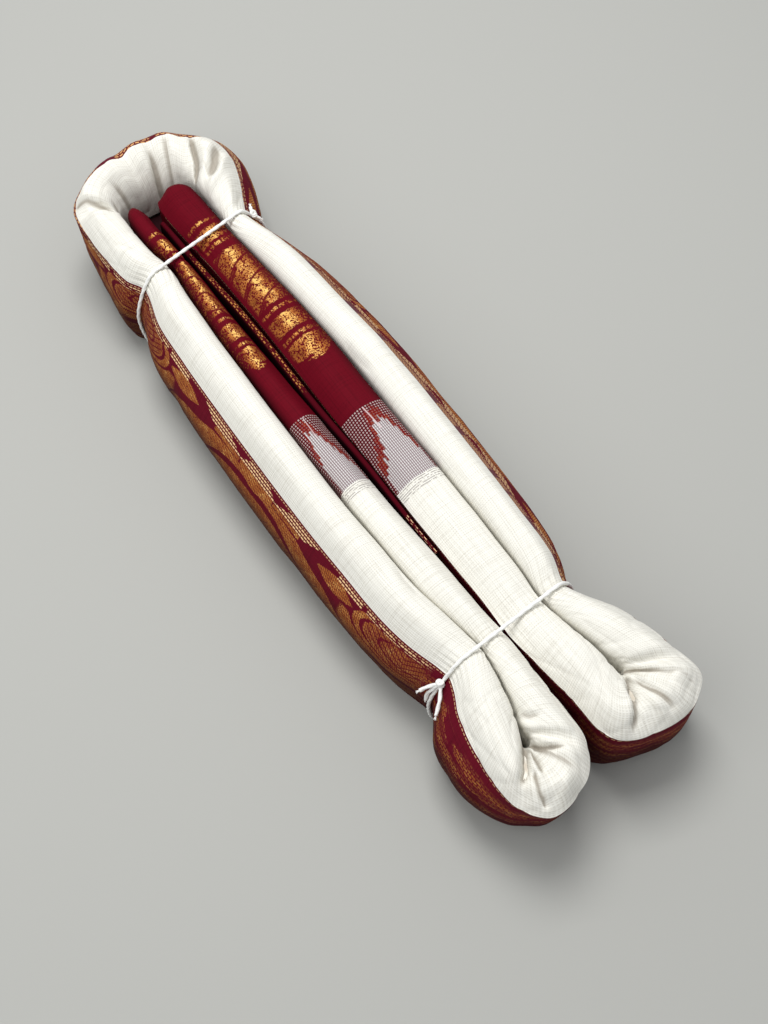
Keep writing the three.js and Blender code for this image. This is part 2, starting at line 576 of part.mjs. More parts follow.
function borderPanel(from, to, hem, withPleats) {
  const places = stations(from, to, withPleats);
  const top = 1 - (SEAM * RIM_SEAM) / BELLY_Z;
  const face = (inset) =>
    places.map((s) => {
      const section = sectionAt(s, inset);
      return WALL_STEPS.map((f) => wallPoint(section, f * top, hem));
    });
  return wallBetween(face(0), face(CLOTH));
}

// Rounded, closed end of an inner arm: both its walls, its top and its nose.
function foldedEnd(from, to) {
  const inward = to > from ? 1 : -1;
  const ring = (s, inset, hem) => {
    const section = sectionAt(s, inset);
    const wall = TIP_WALL_STEPS.map((f) => wallPoint(section, f, hem));
    const top = TOP_STEPS.map((q) => topPoint(section, q));
    const edge = top[top.length - 1][2];
    return [...wall, ...top, pointOn(section, section.width, (edge + hem) / 2),
      pointOn(section, section.width, hem)];
  };
  const rings = (start, end, inset, hem) =>
    TIP_STEPS.map((t) => ring(start + (end - start) * t, inset, hem));
  const outer = sweptSolid(rings(from, to, 0, ARM_HEM));
  const past = TIP_HOLLOW_PAST;
  const hollow = sweptSolid(rings(from + inward * CLOTH, to + inward * past, CLOTH, ARM_HEM - past));
  return geometryFrom(manifoldOf(outer).subtract(manifoldOf(hollow)));
}

function middleFold(from, to) {
  const value = (x, column) => {
    const rows = MIDDLE_FOLD;
    const i = Math.max(0, rows.findLastIndex((row, k) => row.x <= x && k < rows.length - 1));
    const t = THREE.MathUtils.smootherstep(x, rows[i].x, rows[i + 1].x);
    return THREE.MathUtils.lerp(rows[i][column], rows[i + 1][column], t);
  };
  const count = Math.ceil((to - from) / MIDDLE_FOLD_STEP);
  const rings = Array.from({ length: count + 1 }, (_, i) => {
    const x = from + ((to - from) * i) / count;
    const [y, half, crest] = ["y", "half", "crest"].map((column) => value(x, column));
    const side = (sign) =>
      MIDDLE_FOLD_ROUND.map(([share, depth]) => [sign * half * share, crest - depth]);
    const top = [...side(-1), [0, crest], ...side(1).reverse()];
    const profile = [[-half, ARM_HEM], ...top, [half, ARM_HEM]];
    return profile.map(([out, z]) => [x - CENTRE.x, y + out - CENTRE.y, z]);
  });
  return sweptSolid(rings);
}

// ---- Hidden layers ------------------------------------------------------------------------------

function hiddenLayers() {
  const inset = CLOTH + CORE_GAP;
  const turns = ["leftTurn", "head", "rightTurn"];
  const end = inset + CORE_END;
  const places = stations(end, STRIP_LENGTH - end, false);
  const within = (s, { first, last }) => s > PLACES[first] + CORE_END && s < PLACES[last] - CORE_END;
  const inTurn = (s) => turns.some((name) => within(s, SPANS[name]));
  const rings = places.map((s) => {
    const section = sectionAt(s, inset, CORE_INNER_INSET, inTurn(s) ? CORE_TURN_DROP : 0);
    const wall = CORE_WALL_STEPS.slice(0, -1).map((f) => wallPoint(section, f, 0));
    const top = CORE_TOP_STEPS.map((q) => topPoint(section, q, false));
    const low = section.lift;
    const underside = [pointOn(section, section.width, low)];
    for (const place of [...LAYER_NOTCH.places].reverse()) {
      const middle = place * section.width;
      const half = Math.min(LAYER_NOTCH.width / 2, section.width * NOTCH_SHARE);
      underside.push(pointOn(section, middle + half, low));
      underside.push(pointOn(section, middle, low + LAYER_NOTCH.depth));
      underside.push(pointOn(section, middle - half, low));
    }
    return [...wall, ...top, ...underside];
  });
  const outline = new THREE.Shape(
    BED_OUTLINE.map(([x, y]) => new THREE.Vector2(x - CENTRE.x, y - CENTRE.y)),
  );
  const bed = new THREE.ExtrudeGeometry(outline, {
    depth: BED.top - BED.bottom,
    bevelEnabled: false,
    steps: 1,
  });
  bed.translate(0, 0, BED.bottom);
  bed.deleteAttribute("normal");
  bed.deleteAttribute("uv");
  const joined = manifoldOf(sweptSolid(rings)).add(manifoldOf(mergeVertices(bed)));
  return geometryFrom(joined);
}

// ---- Ties ---------------------------------------------------------------------------------------

function convexHull(points) {
  const sorted = [...points].sort((a, b) => a[0] - b[0] || a[1] - b[1]);
  const turn = (o, a, b) => (a[0] - o[0]) * (b[1] - o[1]) - (a[1] - o[1]) * (b[0] - o[0]);
  const half = (list) => {
    const hull = [];
    for (const p of list) {
      while (hull.length > 1 && turn(hull[hull.length - 2], hull[hull.length - 1], p) <= 0) hull.pop();
      hull.push(p);
    }
    return hull.slice(0, -1);
  };
  return [...half(sorted), ...half(sorted.reverse())];
}

// The taut loop that a thread makes round the arms, as points in the plane of the tie.
function loopRound(tie, crossings) {
  const along = new THREE.Vector2(tie.slant, 1).normalize();
  const origin = new THREE.Vector2(tie.x - CENTRE.x + tie.slant * CENTRE.y, 0);
  const flat = [];
  for (const s of crossings) {
    for (const near of THREAD_ROOM.near) {
      const section = sectionAt(s + near, 0);
      const points = [
        ...WALL_STEPS.map((f) => wallPoint(section, f, 0)),
        ...TOP_STEPS.map((q) => topPoint(section, q)),
        pointOn(section, section.width, section.lift),
      ];
      for (const [x, y, z] of points) {
        const at = new THREE.Vector2(x, y).sub(origin).dot(along);
        flat.push([at, Math.max(z, section.lift)]);
      }
    }
  }
  const hull = convexHull(flat);
  const out = THREAD / 2 + THREAD_CLEARANCE;
  const swollen = [];
  for (const [a, z] of hull) {
    for (let k = 0; k < THREAD_ROOM.sides; k++) {
      const angle = (k * 2 * Math.PI) / THREAD_ROOM.sides;
      swollen.push([a + out * Math.cos(angle), z + out * Math.sin(angle)]);
    }
  }
  const path = spacedPath(convexHull(swollen));
  return path.map(([a, z]) => new THREE.Vector3(origin.x + along.x * a, origin.y + along.y * a, z));
}

// The points of a closed outline that lie at least THREAD_STEP from the one before.
function spacedPath(outline) {
  const kept = [outline[0]];
  for (const point of outline) {
    const [x, y] = kept[kept.length - 1];
    if (Math.hypot(point[0] - x, point[1] - y) > THREAD_STEP) kept.push(point);
  }
  return kept;
}

// A length of thread along a path; normal is a direction that the path never runs along.
function threadAlong(path, normal, closed) {
  const rings = path.map((point, i) => {
    const before = closed ? path[(i + path.length - 1) % path.length] : path[Math.max(0, i - 1)];
    const after = closed ? path[(i + 1) % path.length] : path[Math.min(path.length - 1, i + 1)];
    const tangent = after.clone().sub(before).normalize();
    const side = new THREE.Vector3().crossVectors(normal, tangent).normalize();
    const up = new THREE.Vector3().crossVectors(tangent, side);
    return Array.from({ length: THREAD_SIDES }, (_, k) => {
      const angle = (k * 2 * Math.PI) / THREAD_SIDES;
      return point
        .clone()
        .addScaledVector(side, (THREAD / 2) * Math.cos(angle))
        .addScaledVector(up, (THREAD / 2) * Math.sin(angle))
        .toArray();
    });
  });
  return sweptSolid(rings, { closed, cap: fanCap });
}

// A point off the outer wall, at distance s and share `height` of its height.
function offWall(s, height, out) {
  const section = sectionAt(s, 0);
  const [x, y, z] = wallPoint(section, height, 0);
  return new THREE.Vector3(x - section.across[0] * out, y - section.across[1] * out, z);
}

// A tie: its loop, its knot and the knot's free ends, as one solid.
function knottedTie(name, crossings) {
  const tie = TIES[name];
  const knot = KNOTS[name];
  const s = TIE_DISTANCES[knot.crossing];
  const path = loopRound(tie, crossings);
  const wanted = offWall(s, knot.height, 0);
  const nearest = path.reduce((best, point) =>
    point.distanceTo(wanted) < best.distanceTo(wanted) ? point : best,
  );
  const { across } = sectionAt(s, 0);
  const outward = new THREE.Vector3(-across[0], -across[1], 0);
  const centre = nearest.clone().addScaledVector(outward, KNOT_OUT);
  const lump = new THREE.IcosahedronGeometry(KNOT_RADIUS, 1).translate(...centre.toArray());
  lump.deleteAttribute("normal");
  lump.deleteAttribute("uv");
  let solid = manifoldOf(threadAlong(path, new THREE.Vector3(1, -tie.slant, 0).normalize(), true));
  solid = solid.add(manifoldOf(mergeVertices(lump)));
  for (const rows of knot.ends) {
    const points = rows.map(([ds, height, out]) => offWall(s + ds, height, out));
    const end = threadAlong([centre, ...points], new THREE.Vector3(0, 0, 1), false);
    solid = solid.add(manifoldOf(end));
  }
  return geometryFrom(solid);
}

// ---- The object ------------------------------------------------------------------------------

const group = new THREE.Group();

function addPiece(name, geometry, colour, roughness = 0.9) {
  const material = new THREE.MeshStandardMaterial({ color: colour, roughness, metalness: 0 });
  const mesh = new THREE.Mesh(geometry, material);
  mesh.name = name;
  group.add(mesh);
}

const half = SEAM / 2;
const spanOf = (name) => [PLACES[SPANS[name].first] + half, PLACES[SPANS[name].last] - half];

// Distance along an inner arm at which its rim has the given x.
function distanceOfX(name, x) {
  const { first, last } = SPANS[name];
  let [low, high] = [PLACES[first], PLACES[last]];
  const rising = columnAt("rimX", high) > columnAt("rimX", low);
  for (let i = 0; i < 40; i++) {
    const middle = (low + high) / 2;
    if (columnAt("rimX", middle) < x === rising) low = middle;
    else high = middle;
  }
  return low;
}

const WHOLE_STRETCHES = [
  { stretch: "head", suffix: "head", pleated: true },
  { stretch: "leftOuter", suffix: "left_outer", pleated: false },
  { stretch: "rightOuter", suffix: "right_outer", pleated: false },
  { stretch: "leftTurn", suffix: "left_turn", pleated: true },
  { stretch: "rightTurn", suffix: "right_turn", pleated: true },
];
for (const { stretch, suffix, pleated } of WHOLE_STRETCHES) {
  const [from, to] = spanOf(stretch);
  addPiece(`body_${suffix}`, topPanel(from, to, pleated), COLOURS.body);
  addPiece(`border_${suffix}`, borderPanel(from, to, 0, pleated), COLOURS.border);
}

const INNER_ARMS = [
  { side: "left", stretch: "leftInner", tip: TIP_START },
  { side: "right", stretch: "rightInner", tip: STRIP_LENGTH - TIP_START },
];
for (const { side, stretch, tip } of INNER_ARMS) {
  const [from, to] = spanOf(stretch);
  const outward = side === "left" ? 1 : -1;
  const { end, pallu, join } = BANDS[side];
  const cuts = [end, pallu, join].map((x) => distanceOfX(stretch, x));
  const turnEnd = outward > 0 ? to : from;
  const places = [...cuts, turnEnd + outward * half];
  const runs = [
    { name: `pallu_${side}`, colour: COLOURS.pallu },
    { name: `join_${side}`, colour: COLOURS.join },
    { name: `body_${side}_inner`, colour: COLOURS.body },
  ];
  runs.forEach(({ name, colour }, i) => {
    const ends = [places[i] + outward * half, places[i + 1] - outward * half].sort((a, b) => a - b);
    addPiece(name, topPanel(ends[0], ends[1], false), colour);
  });
  const wall = [cuts[0] + outward * half, turnEnd].sort((a, b) => a - b);
  addPiece(`border_${side}_inner`, borderPanel(wall[0], wall[1], ARM_HEM, false), COLOURS.border);
  addPiece(`pallu_${side}_end`, foldedEnd(tip, cuts[0] - outward * half), COLOURS.pallu);
}

const foldStart = MIDDLE_FOLD[0].x;
const foldEnd = MIDDLE_FOLD[MIDDLE_FOLD.length - 1].x;
addPiece("pallu_middle_fold", middleFold(foldStart, MIDDLE_FOLD_SPLIT - half), COLOURS.pallu);
addPiece("border_middle_fold", middleFold(MIDDLE_FOLD_SPLIT + half, foldEnd), COLOURS.border);
addPiece("hidden_layers", hiddenLayers(), COLOURS.hidden);

const CROSSINGS = {
  upper: [TIE_DISTANCES[0], TIE_DISTANCES[3], TIE_DISTANCES[4], TIE_DISTANCES[7]],
  lower: [TIE_DISTANCES[1], TIE_DISTANCES[2], TIE_DISTANCES[5], TIE_DISTANCES[6]],
};
for (const [name, crossings] of Object.entries(CROSSINGS)) {
  addPiece(`tie_${name}`, knottedTie(name, crossings), COLOURS.thread, 0.8);
}

export default group;
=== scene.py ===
"""A handloom cotton saree, folded to a long strip on its edge, laid to and fro and tied twice."""

import logging
import math
from dataclasses import dataclass, fields, replace
from enum import Enum
from functools import reduce
from typing import Sequence

import bpy
import numpy as np
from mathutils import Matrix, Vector

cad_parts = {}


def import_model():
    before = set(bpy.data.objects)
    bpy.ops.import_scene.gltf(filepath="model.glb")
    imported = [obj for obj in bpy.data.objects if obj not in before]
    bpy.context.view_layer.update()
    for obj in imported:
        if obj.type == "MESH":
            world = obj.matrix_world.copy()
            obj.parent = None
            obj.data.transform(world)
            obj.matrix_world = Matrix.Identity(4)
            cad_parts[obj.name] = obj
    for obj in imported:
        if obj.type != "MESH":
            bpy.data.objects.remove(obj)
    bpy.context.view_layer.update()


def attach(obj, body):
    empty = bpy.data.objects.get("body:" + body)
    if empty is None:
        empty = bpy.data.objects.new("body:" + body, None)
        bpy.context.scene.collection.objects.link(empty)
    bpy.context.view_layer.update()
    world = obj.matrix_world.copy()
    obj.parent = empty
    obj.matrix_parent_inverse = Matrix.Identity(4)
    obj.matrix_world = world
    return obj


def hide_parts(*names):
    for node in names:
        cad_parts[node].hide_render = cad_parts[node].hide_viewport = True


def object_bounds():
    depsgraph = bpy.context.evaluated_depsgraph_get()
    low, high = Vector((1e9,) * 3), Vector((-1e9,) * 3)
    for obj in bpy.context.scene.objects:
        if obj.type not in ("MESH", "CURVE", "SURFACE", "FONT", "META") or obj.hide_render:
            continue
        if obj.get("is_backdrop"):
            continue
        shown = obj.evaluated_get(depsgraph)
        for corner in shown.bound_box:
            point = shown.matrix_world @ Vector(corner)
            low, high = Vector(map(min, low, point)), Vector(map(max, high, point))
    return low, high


LOG = logging.getLogger("saree")
MM = 0.001
CENTRE = np.array([-6.5, -8.0])  # middle of the bundle in the frame of the tables
NO_BANDS = 900.0  # third pattern coordinate of tops that show no end piece
Socket = bpy.types.NodeSocket
Value = float | Socket


class Stretch(Enum):
    """The stretches of the strip, from one folded end to the other."""

    LEFT_INNER = "left_inner"
    LEFT_TURN = "left_turn"
    LEFT_OUTER = "left_outer"
    HEAD = "head"
    RIGHT_OUTER = "right_outer"
    RIGHT_TURN = "right_turn"
    RIGHT_INNER = "right_inner"


# Sections of the strip in millimetres: outer edge x and y, crease edge x and y, heights of the
# outer edge, of the crest and of the crease edge, swell of the outer wall at its middle and at
# its foot, and the share of the width at which the crest lies.
ROWS: dict[Stretch, list[tuple[float, ...]]] = {
    Stretch.LEFT_INNER: [
        (-154.5, -19.3, -154.5, -27.6, 43, 48.5, 44, 0, 0, 0.5),
        (-140, -19.6, -140, -28.5, 43.5, 49, 44.5, 0, 0, 0.5),
        (-128, -18.8, -128, -27.9, 43.5, 49, 44.5, 0, 0, 0.5),
        (-115.4, -18.3, -114.5, -25.2, 43, 48, 44, 0, 0, 0.5),
        (-100, -17.9, -99.5, -26.9, 44, 49.5, 45, 0, 0, 0.5),
        (-80, -17.9, -80, -28.2, 44, 50, 45, 0, 0, 0.5),
        (-40, -17.2, -40, -29.6, 44, 50, 45, 0, 0, 0.5),
        (0, -16.1, 0, -30.2, 44, 50, 45, 0, 0, 0.5),
        (40, -15.3, 40, -29.6, 44, 50.5, 45, 0, 0, 0.5),
        (75, -13.6, 75, -28.6, 44, 50.5, 45, 0, 0, 0.5),
        (95, -12.6, 95.2, -25, 43.5, 50, 44.5, 0, 0, 0.5),
        (108.4, -11.8, 108.9, -22.9, 43, 48.5, 44, 0, 0, 0.5),
    ],
    Stretch.LEFT_TURN: [
        (122, -11.8, 121.5, -25, 43.5, 51, 45, 0, 0, 0.5),
        (137, -12.1, 132, -27.3, 44, 53, 46, 0, 0, 0.5),
        (149, -12.3, 140.5, -29.8, 44, 53.5, 46, 0, 0, 0.45),
        (159.5, -12.8, 144.8, -30.4, 44, 54, 46, 0, -1, 0.4),
        (167.6, -16.4, 147.4, -30.2, 44, 54, 45, -0.5, -5, 0.4),
        (173.4, -22, 148.8, -30.6, 44, 54, 44, -1, -6, 0.4),
        (176.5, -29, 149.6, -31.2, 44, 54, 43, -1.5, -8, 0.4),
        (177.9, -36.5, 149.8, -31.9, 44, 54, 43, -2.5, -10.5, 0.4),
        (177, -42.6, 149.6, -32.6, 44, 54, 44, -3, -11, 0.4),
        (172.3, -47.6, 148.8, -33.2, 44, 54, 45, -2, -10, 0.4),
        (165.5, -51, 147.2, -33.2, 44, 54, 46, 1, -6, 0.4),
        (156, -52, 144.5, -32.2, 44, 54, 46, 5, -1, 0.42),
        (145, -51.2, 139, -30, 44, 54, 46, 8.5, 3.5, 0.45),
        (134, -49.3, 131, -27.7, 44, 54, 46, 10, 6, 0.5),
        (124, -46.2, 122.5, -25.9, 43.5, 53, 45.5, 11, 7, 0.5),
        (116.5, -42.2, 115, -24.6, 43, 51, 45, 10, 6, 0.5),
        (109.8, -40.2, 109, -23.6, 42, 49, 44, 8, 4.5, 0.5),
    ],
    Stretch.LEFT_OUTER: [
        (90, -45.4, 89.5, -26.6, 42, 51.5, 45, 8, 4, 0.5),
        (75, -47.7, 75, -29.2, 42, 52, 45, 8.3, 3.5, 0.5),
        (50, -48.6, 50, -30.3, 42, 52, 45, 8.6, 3.5, 0.5),
        (20, -49.1, 20, -31.1, 42, 52, 45, 8.6, 3.5, 0.5),
        (-10, -49.1, -10, -31, 42, 52, 45, 8.6, 3.5, 0.5),
        (-40, -48.5, -40, -30.5, 42, 52, 45, 8.6, 3.5, 0.5),
        (-70, -47.4, -70, -29.9, 42, 52, 45, 8.3, 3.5, 0.5),
        (-92, -46.1, -93, -28.6, 42, 51.5, 45, 7.5, 3, 0.5),
        (-112.6, -41.5, -114.4, -26.8, 42, 49, 44, 5.5, 2, 0.5),
    ],
    Stretch.HEAD: [
        (-122, -45.6, -124, -28.8, 42.5, 51.5, 45, 6, 2, 0.5),
        (-140, -47.1, -138, -29.6, 43, 52, 45, 3, -1, 0.5),
        (-158, -47.3, -149, -29.3, 43, 52.5, 44, 0.5, -4, 0.48),
        (-168, -45.6, -156.5, -28, 43, 52.5, 40, -1.5, -7, 0.4),
        (-174.5, -39.8, -159.6, -25, 43, 52.5, 33, -1.5, -8.5, 0.32),
        (-180, -30, -161, -20, 43, 53, 29, 3, -5, 0.3),
        (-183.2, -18, -161.4, -14, 43, 53, 28, 8, -1, 0.28),
        (-183.8, -3, -161, -6, 43, 53, 29, 10, 2, 0.28),
        (-182.6, 8.5, -159.5, -0.5, 43, 53, 31, 10, 3, 0.3),
        (-178, 16.4, -157, 3.8, 43, 53, 34, 9.8, 3, 0.33),
        (-170.5, 24.8, -153, 6.6, 43, 53, 38, 9.3, 3, 0.38),
        (-164, 29.5, -148, 7.6, 43, 53, 42, 8.5, 3, 0.42),
        (-152, 30.4, -141, 7.6, 43, 53, 44, 8.5, 4, 0.45),
        (-138, 26.1, -132, 7.4, 42.5, 52, 45, 9, 5, 0.5),
        (-127, 20.9, -124.5, 7.2, 42, 50.5, 44.5, 9, 5, 0.5),
        (-119.8, 18.4, -118.4, 6.8, 42, 49, 44, 7, 3, 0.5),
    ],
    Stretch.RIGHT_OUTER: [
        (-102.5, 23, -102, 7.7, 42, 51, 45, 7.5, 3.5, 0.5),
        (-86, 26.3, -86, 8.8, 42, 52, 45, 8.5, 4, 0.5),
        (-60, 28.6, -60, 10.4, 42, 52, 45, 9, 4, 0.5),
        (-30, 30.3, -30, 11.5, 42, 52, 45, 9, 4, 0.5),
        (5, 30.2, 5, 11.2, 42, 52, 45, 9, 4, 0.5),
        (40, 29.3, 40, 11.2, 42, 52, 45, 8.5, 3.5, 0.5),
        (72, 27.8, 72, 10.8, 42, 52, 45, 8, 3.5, 0.5),
        (92, 26, 92, 10.1, 42, 51, 45, 6.5, 3, 0.5),
        (106.8, 21.2, 107.4, 9.1, 42, 49, 44, 4.5, 1, 0.5),
    ],
    Stretch.RIGHT_TURN: [
        (114.1, 24, 114.5, 9.9, 43, 51.5, 45, 4.5, 1.5, 0.5),
        (124.1, 29.9, 122, 11.2, 44, 53, 46, 4.5, 2, 0.5),
        (134.1, 33.9, 131, 12.9, 44, 54, 46, 4.5, 2, 0.5),
        (144.1, 36.9, 139, 14.2, 44, 54, 46, 4.5, 2, 0.45),
        (154.1, 38.7, 144.5, 15.6, 44, 54, 46, 4, 1, 0.42),
        (163.2, 40.1, 147, 16.2, 44, 54, 46, 3, 0, 0.4),
        (168, 38.8, 148.2, 15.9, 44, 54, 45, 2, -1, 0.4),
        (172, 34, 148.8, 15.3, 44, 54, 44, 0.5, -3, 0.4),
        (175.4, 27.5, 149, 14.7, 44, 54, 43, 1, -4, 0.4),
        (176, 19.5, 149, 14, 44, 54, 43, 1, -4, 0.4),
        (174.6, 10, 148.6, 13.3, 44, 54, 44, 0, -4, 0.4),
        (172.2, 2, 147.8, 12.8, 44, 54, 45, 0, -4, 0.4),
        (168, -4.2, 146.5, 12.6, 44, 54, 46, 0, -3, 0.4),
        (160.7, -7.1, 143.5, 12.7, 44, 54, 46, 0, -1, 0.42),
        (150, -7.6, 139, 12.5, 44, 53.5, 46, 0, 0, 0.45),
        (138, -8.6, 131, 11.6, 44, 53, 46, 0, 0, 0.5),
        (124, -9.9, 121.5, 10.2, 43.5, 51, 45, 0, 0, 0.5),
        (108.3, -10.8, 107.5, 8.3, 43, 48.5, 44, 0, 0, 0.5),
    ],
    Stretch.RIGHT_INNER: [
        (90, -10.7, 90, 9.2, 44, 50, 45, 0, 0, 0.5),
        (55, -11, 55, 10, 44, 50.5, 45, 0, 0, 0.5),
        (15, -11, 15, 10.3, 44, 50.5, 45, 0, 0, 0.5),
        (-25, -11, -25, 10.2, 44, 50.5, 45, 0, 0, 0.5),
        (-60, -10.6, -60, 9.5, 44, 50, 45, 0, 0, 0.5),
        (-85, -10.6, -85, 8.1, 44, 50, 45, 0, 0, 0.5),
        (-105, -11.1, -105, 6.7, 44, 49.5, 44.5, 0, 0, 0.5),
        (-116.3, -11.6, -118.3, 6.1, 43, 48.5, 44, 0, 0, 0.5),
        (-130, -12.8, -130, 5.6, 43.5, 49, 44.5, 0, 0, 0.5),
        (-142, -13.2, -142, 5.2, 43.5, 49, 44.5, 0, 0, 0.5),
        (-155.5, -12, -155.5, 4, 43, 48.5, 44, 0, 0, 0.5),
    ],
}


@dataclass(frozen=True)
class Pleat:
    """A broad trough or ridge across the top of a turn.

    Args:
        stretch: The turn that it belongs to.
        rim: Row of the turn, as a fraction, that it meets at the outer edge.
        inner: Row that it meets at the crease edge.
        depth: Depth in millimetres, negative for a ridge.
        width: Half its width in millimetres.
        start: Share of the width at which it starts, from the outer edge.
        end: Share of the width at which it ends.
    """

    stretch: Stretch
    rim: float
    inner: float
    depth: float
    width: float
    start: float
    end: float


PLEATS = (
    Pleat(Stretch.HEAD, 3.4, 3.9, 4, 3, 0.1, 1),
    Pleat(Stretch.HEAD, 2.6, 3, 1.2, 3.5, 0.45, 1),
    Pleat(Stretch.HEAD, 7.2, 7.4, 2.6, 4, 0.1, 0.95),
    Pleat(Stretch.HEAD, 8.4, 8.7, 2, 3.5, 0.15, 1),
    Pleat(Stretch.HEAD, 10, 11.4, 2.4, 4, 0.15, 1),
    Pleat(Stretch.HEAD, 12.2, 12.4, -1.6, 3.5, 0.15, 1),
    Pleat(Stretch.LEFT_TURN, 4.6, 4.9, 3.4, 2.6, 0.2, 1),
    Pleat(Stretch.LEFT_TURN, 5.9, 6, 1.8, 2.4, 0.05, 0.9),
    Pleat(Stretch.LEFT_TURN, 7.4, 7.3, 1.8, 2.6, 0.3, 0.95),
    Pleat(Stretch.LEFT_TURN, 8.6, 8.3, 2.2, 2.6, 0.05, 0.7),
    Pleat(Stretch.LEFT_TURN, 10.6, 10, 3.8, 3, 0.05, 1),
    Pleat(Stretch.RIGHT_TURN, 5.6, 6, 3.8, 3, 0.15, 1),
    Pleat(Stretch.RIGHT_TURN, 8.4, 8.2, 2.2, 2.6, 0.02, 0.85),
    Pleat(Stretch.RIGHT_TURN, 9.6, 9.4, 1.4, 2, 0.5, 0.95),
    Pleat(Stretch.RIGHT_TURN, 11.4, 10.4, 3.2, 3, 0.05, 1),
)


@dataclass(frozen=True)
class Crease:
    """A crease or a ridge along a line drawn in plan.

    Args:
        line: Points of the line in millimetres, in the frame of the tables.
        depth: Depth in millimetres, negative for a ridge.
        left: How far it spreads on the left of the line.
        right: How far it spreads on the right of the line.
        fade: Share of its length over which each of its ends runs out.
    """

    line: tuple[tuple[float, float], ...]
    depth: float
    left: float = 1.2
    right: float = 1.2
    fade: float = 0.3


CREASES: tuple[Crease, ...] = (
    # head turn: from its left corner, two long pleats, a sharp fold, and the right corner's ridge
    Crease(((-168.5, -45.0), (-164.7, -39.2), (-158.0, -32.7), (-153.1, -29.1)), 2.4, 1.2, 2.8, 0.12),
    Crease(((-161.8, -28.7), (-157.0, -28.4), (-153.1, -26.1)), 2.4, 1.2, 1.4),
    Crease(((-175.5, -0.6), (-160.8, -5.2), (-152.7, -8.6), (-148.7, -11.1)), 4.2, 3.4, 1.0, 0.35),
    Crease(((-177.0, 9.8), (-157.8, 1.2), (-150.9, -2.6)), 2.2, 0.8, 3.4, 0.3),
    Crease(((-171.0, 19.0), (-155.4, 13.0), (-148.7, 8.2), (-145.8, 5.5)), 4.6, 3.0, 0.8, 0.3),
    Crease(((-158.0, 26.0), (-148.0, 19.0), (-141.5, 11.5)), 3.2, 3.8, 3.2, 0.3),
    Crease(((-152.0, 30.0), (-140.7, 16.5), (-136.0, 6.6)), -2.2, 2.2, 2.2, 0.15),
    Crease(((-170.0, -26.0), (-160.0, -21.0), (-153.0, -19.0)), 2.4, 3.4, 1.6, 0.4),
    Crease(((-140.0, -44.0), (-132.0, -38.0), (-122.0, -33.0)), 0.9, 2.6, 1.8, 0.4),
    Crease(((-133.0, 23.0), (-127.0, 17.5), (-120.0, 12.0)), 1.2, 1.6, 1.4, 0.4),
    # left turn
    Crease(((146.1, -32.2), (150.3, -32.3), (154.6, -29.9), (160.2, -22.0)), 3.4, 1.0, 1.5, 0.25),
    Crease(((150.8, -33.7), (158.2, -34.8), (164.6, -36.9)), 3.0, 0.85, 1.2, 0.3),
    Crease(((159.4, -38.0), (167.6, -41.3), (174.6, -42.4)), 3.2, 0.85, 1.5, 0.2),
    Crease(((150.3, -32.6), (161.6, -27.3), (170.5, -24.0)), 2.0, 1.1, 3.4, 0.3),
    Crease(((145.9, -31.9), (152.1, -35.5), (159.1, -40.6), (163.2, -47.0)), 3.4, 1.0, 2.4, 0.3),
    Crease(((137.3, -29.8), (142.5, -26.6), (145.6, -21.8)), 1.8, 0.9, 2.2, 0.4),
    Crease(((166.0, -31.5), (172.5, -31.5), (176.8, -33.5)), -1.6, 2.8, 2.8, 0.4),
    # right turn
    Crease(((146.7, 12.8), (150.5, 17.7), (155.0, 22.5), (159.0, 27.0)), 3.8, 1.0, 1.3, 0.35),
    Crease(((155.0, 22.5), (160.0, 27.1), (162.2, 33.2)), 1.6, 1.0, 2.0, 0.4),
    Crease(((149.6, 14.7), (157.5, 11.8), (162.8, 9.6)), 3.0, 0.85, 1.4, 0.3),
    Crease(((151.5, 14.4), (162.4, 18.1), (167.2, 19.6), (174.4, 21.4)), 2.8, 1.0, 2.2, 0.3),
    Crease(((152.2, 11.0), (160.1, 9.6), (165.8, 5.8), (170.5, 0.2)), 3.2, 2.6, 0.9, 0.3),
    Crease(((160.0, 30.0), (167.0, 33.0), (171.5, 34.5)), 1.4, 1.4, 1.6, 0.4),
    # long creases of the arms, where the cloth has settled unevenly
    Crease(((-38.0, 13.0), (-28.0, 12.3), (-15.0, 13.2)), 0.8, 1.3, 1.0),
    Crease(((62.0, -31.5), (70.0, -32.2), (80.0, -31.0)), 1.0, 1.2, 1.4),
    Crease(((-95.0, -42.0), (-50.0, -41.5), (-5.0, -43.0)), 0.5, 3.0, 2.4, 0.4),
    Crease(((20.0, -40.0), (60.0, -41.5), (92.0, -39.0)), 0.6, 2.2, 3.0, 0.4),
    Crease(((-90.0, 19.0), (-45.0, 21.5), (0.0, 21.0)), 0.5, 2.4, 3.0, 0.4),
    Crease(((10.0, 2.5), (50.0, 1.0), (88.0, 2.0)), 0.5, 3.0, 2.2, 0.4),
    Crease(((96.0, 16.0), (103.0, 15.0), (112.0, 16.5), (121.0, 20.0)), 0.9, 1.4, 1.6, 0.3),
)


def smoothstep(x: np.ndarray, low: float, high: float) -> np.ndarray:
    """Smooth step of x from 0 at low to 1 at high."""
    t = np.clip((x - low) / (high - low), 0, 1)
    return t * t * (3 - 2 * t)


def bend(
    first: np.ndarray, last: np.ndarray, leaving: np.ndarray, arriving: np.ndarray, t: np.ndarray
) -> np.ndarray:
    """Points of a smooth curve.

    Args:
        first: Where it starts.
        last: Where it ends.
        leaving: Its slope at the start, times its span.
        arriving: Its slope at the end, times its span.
        t: Shares of the way.

    Returns:
        The points at these shares.
    """
    return (
        first * (2 * t**3 - 3 * t**2 + 1)
        + last * (3 * t**2 - 2 * t**3)
        + leaving * (t**3 - 2 * t**2 + t)
        + arriving * (t**3 - t**2)
    )


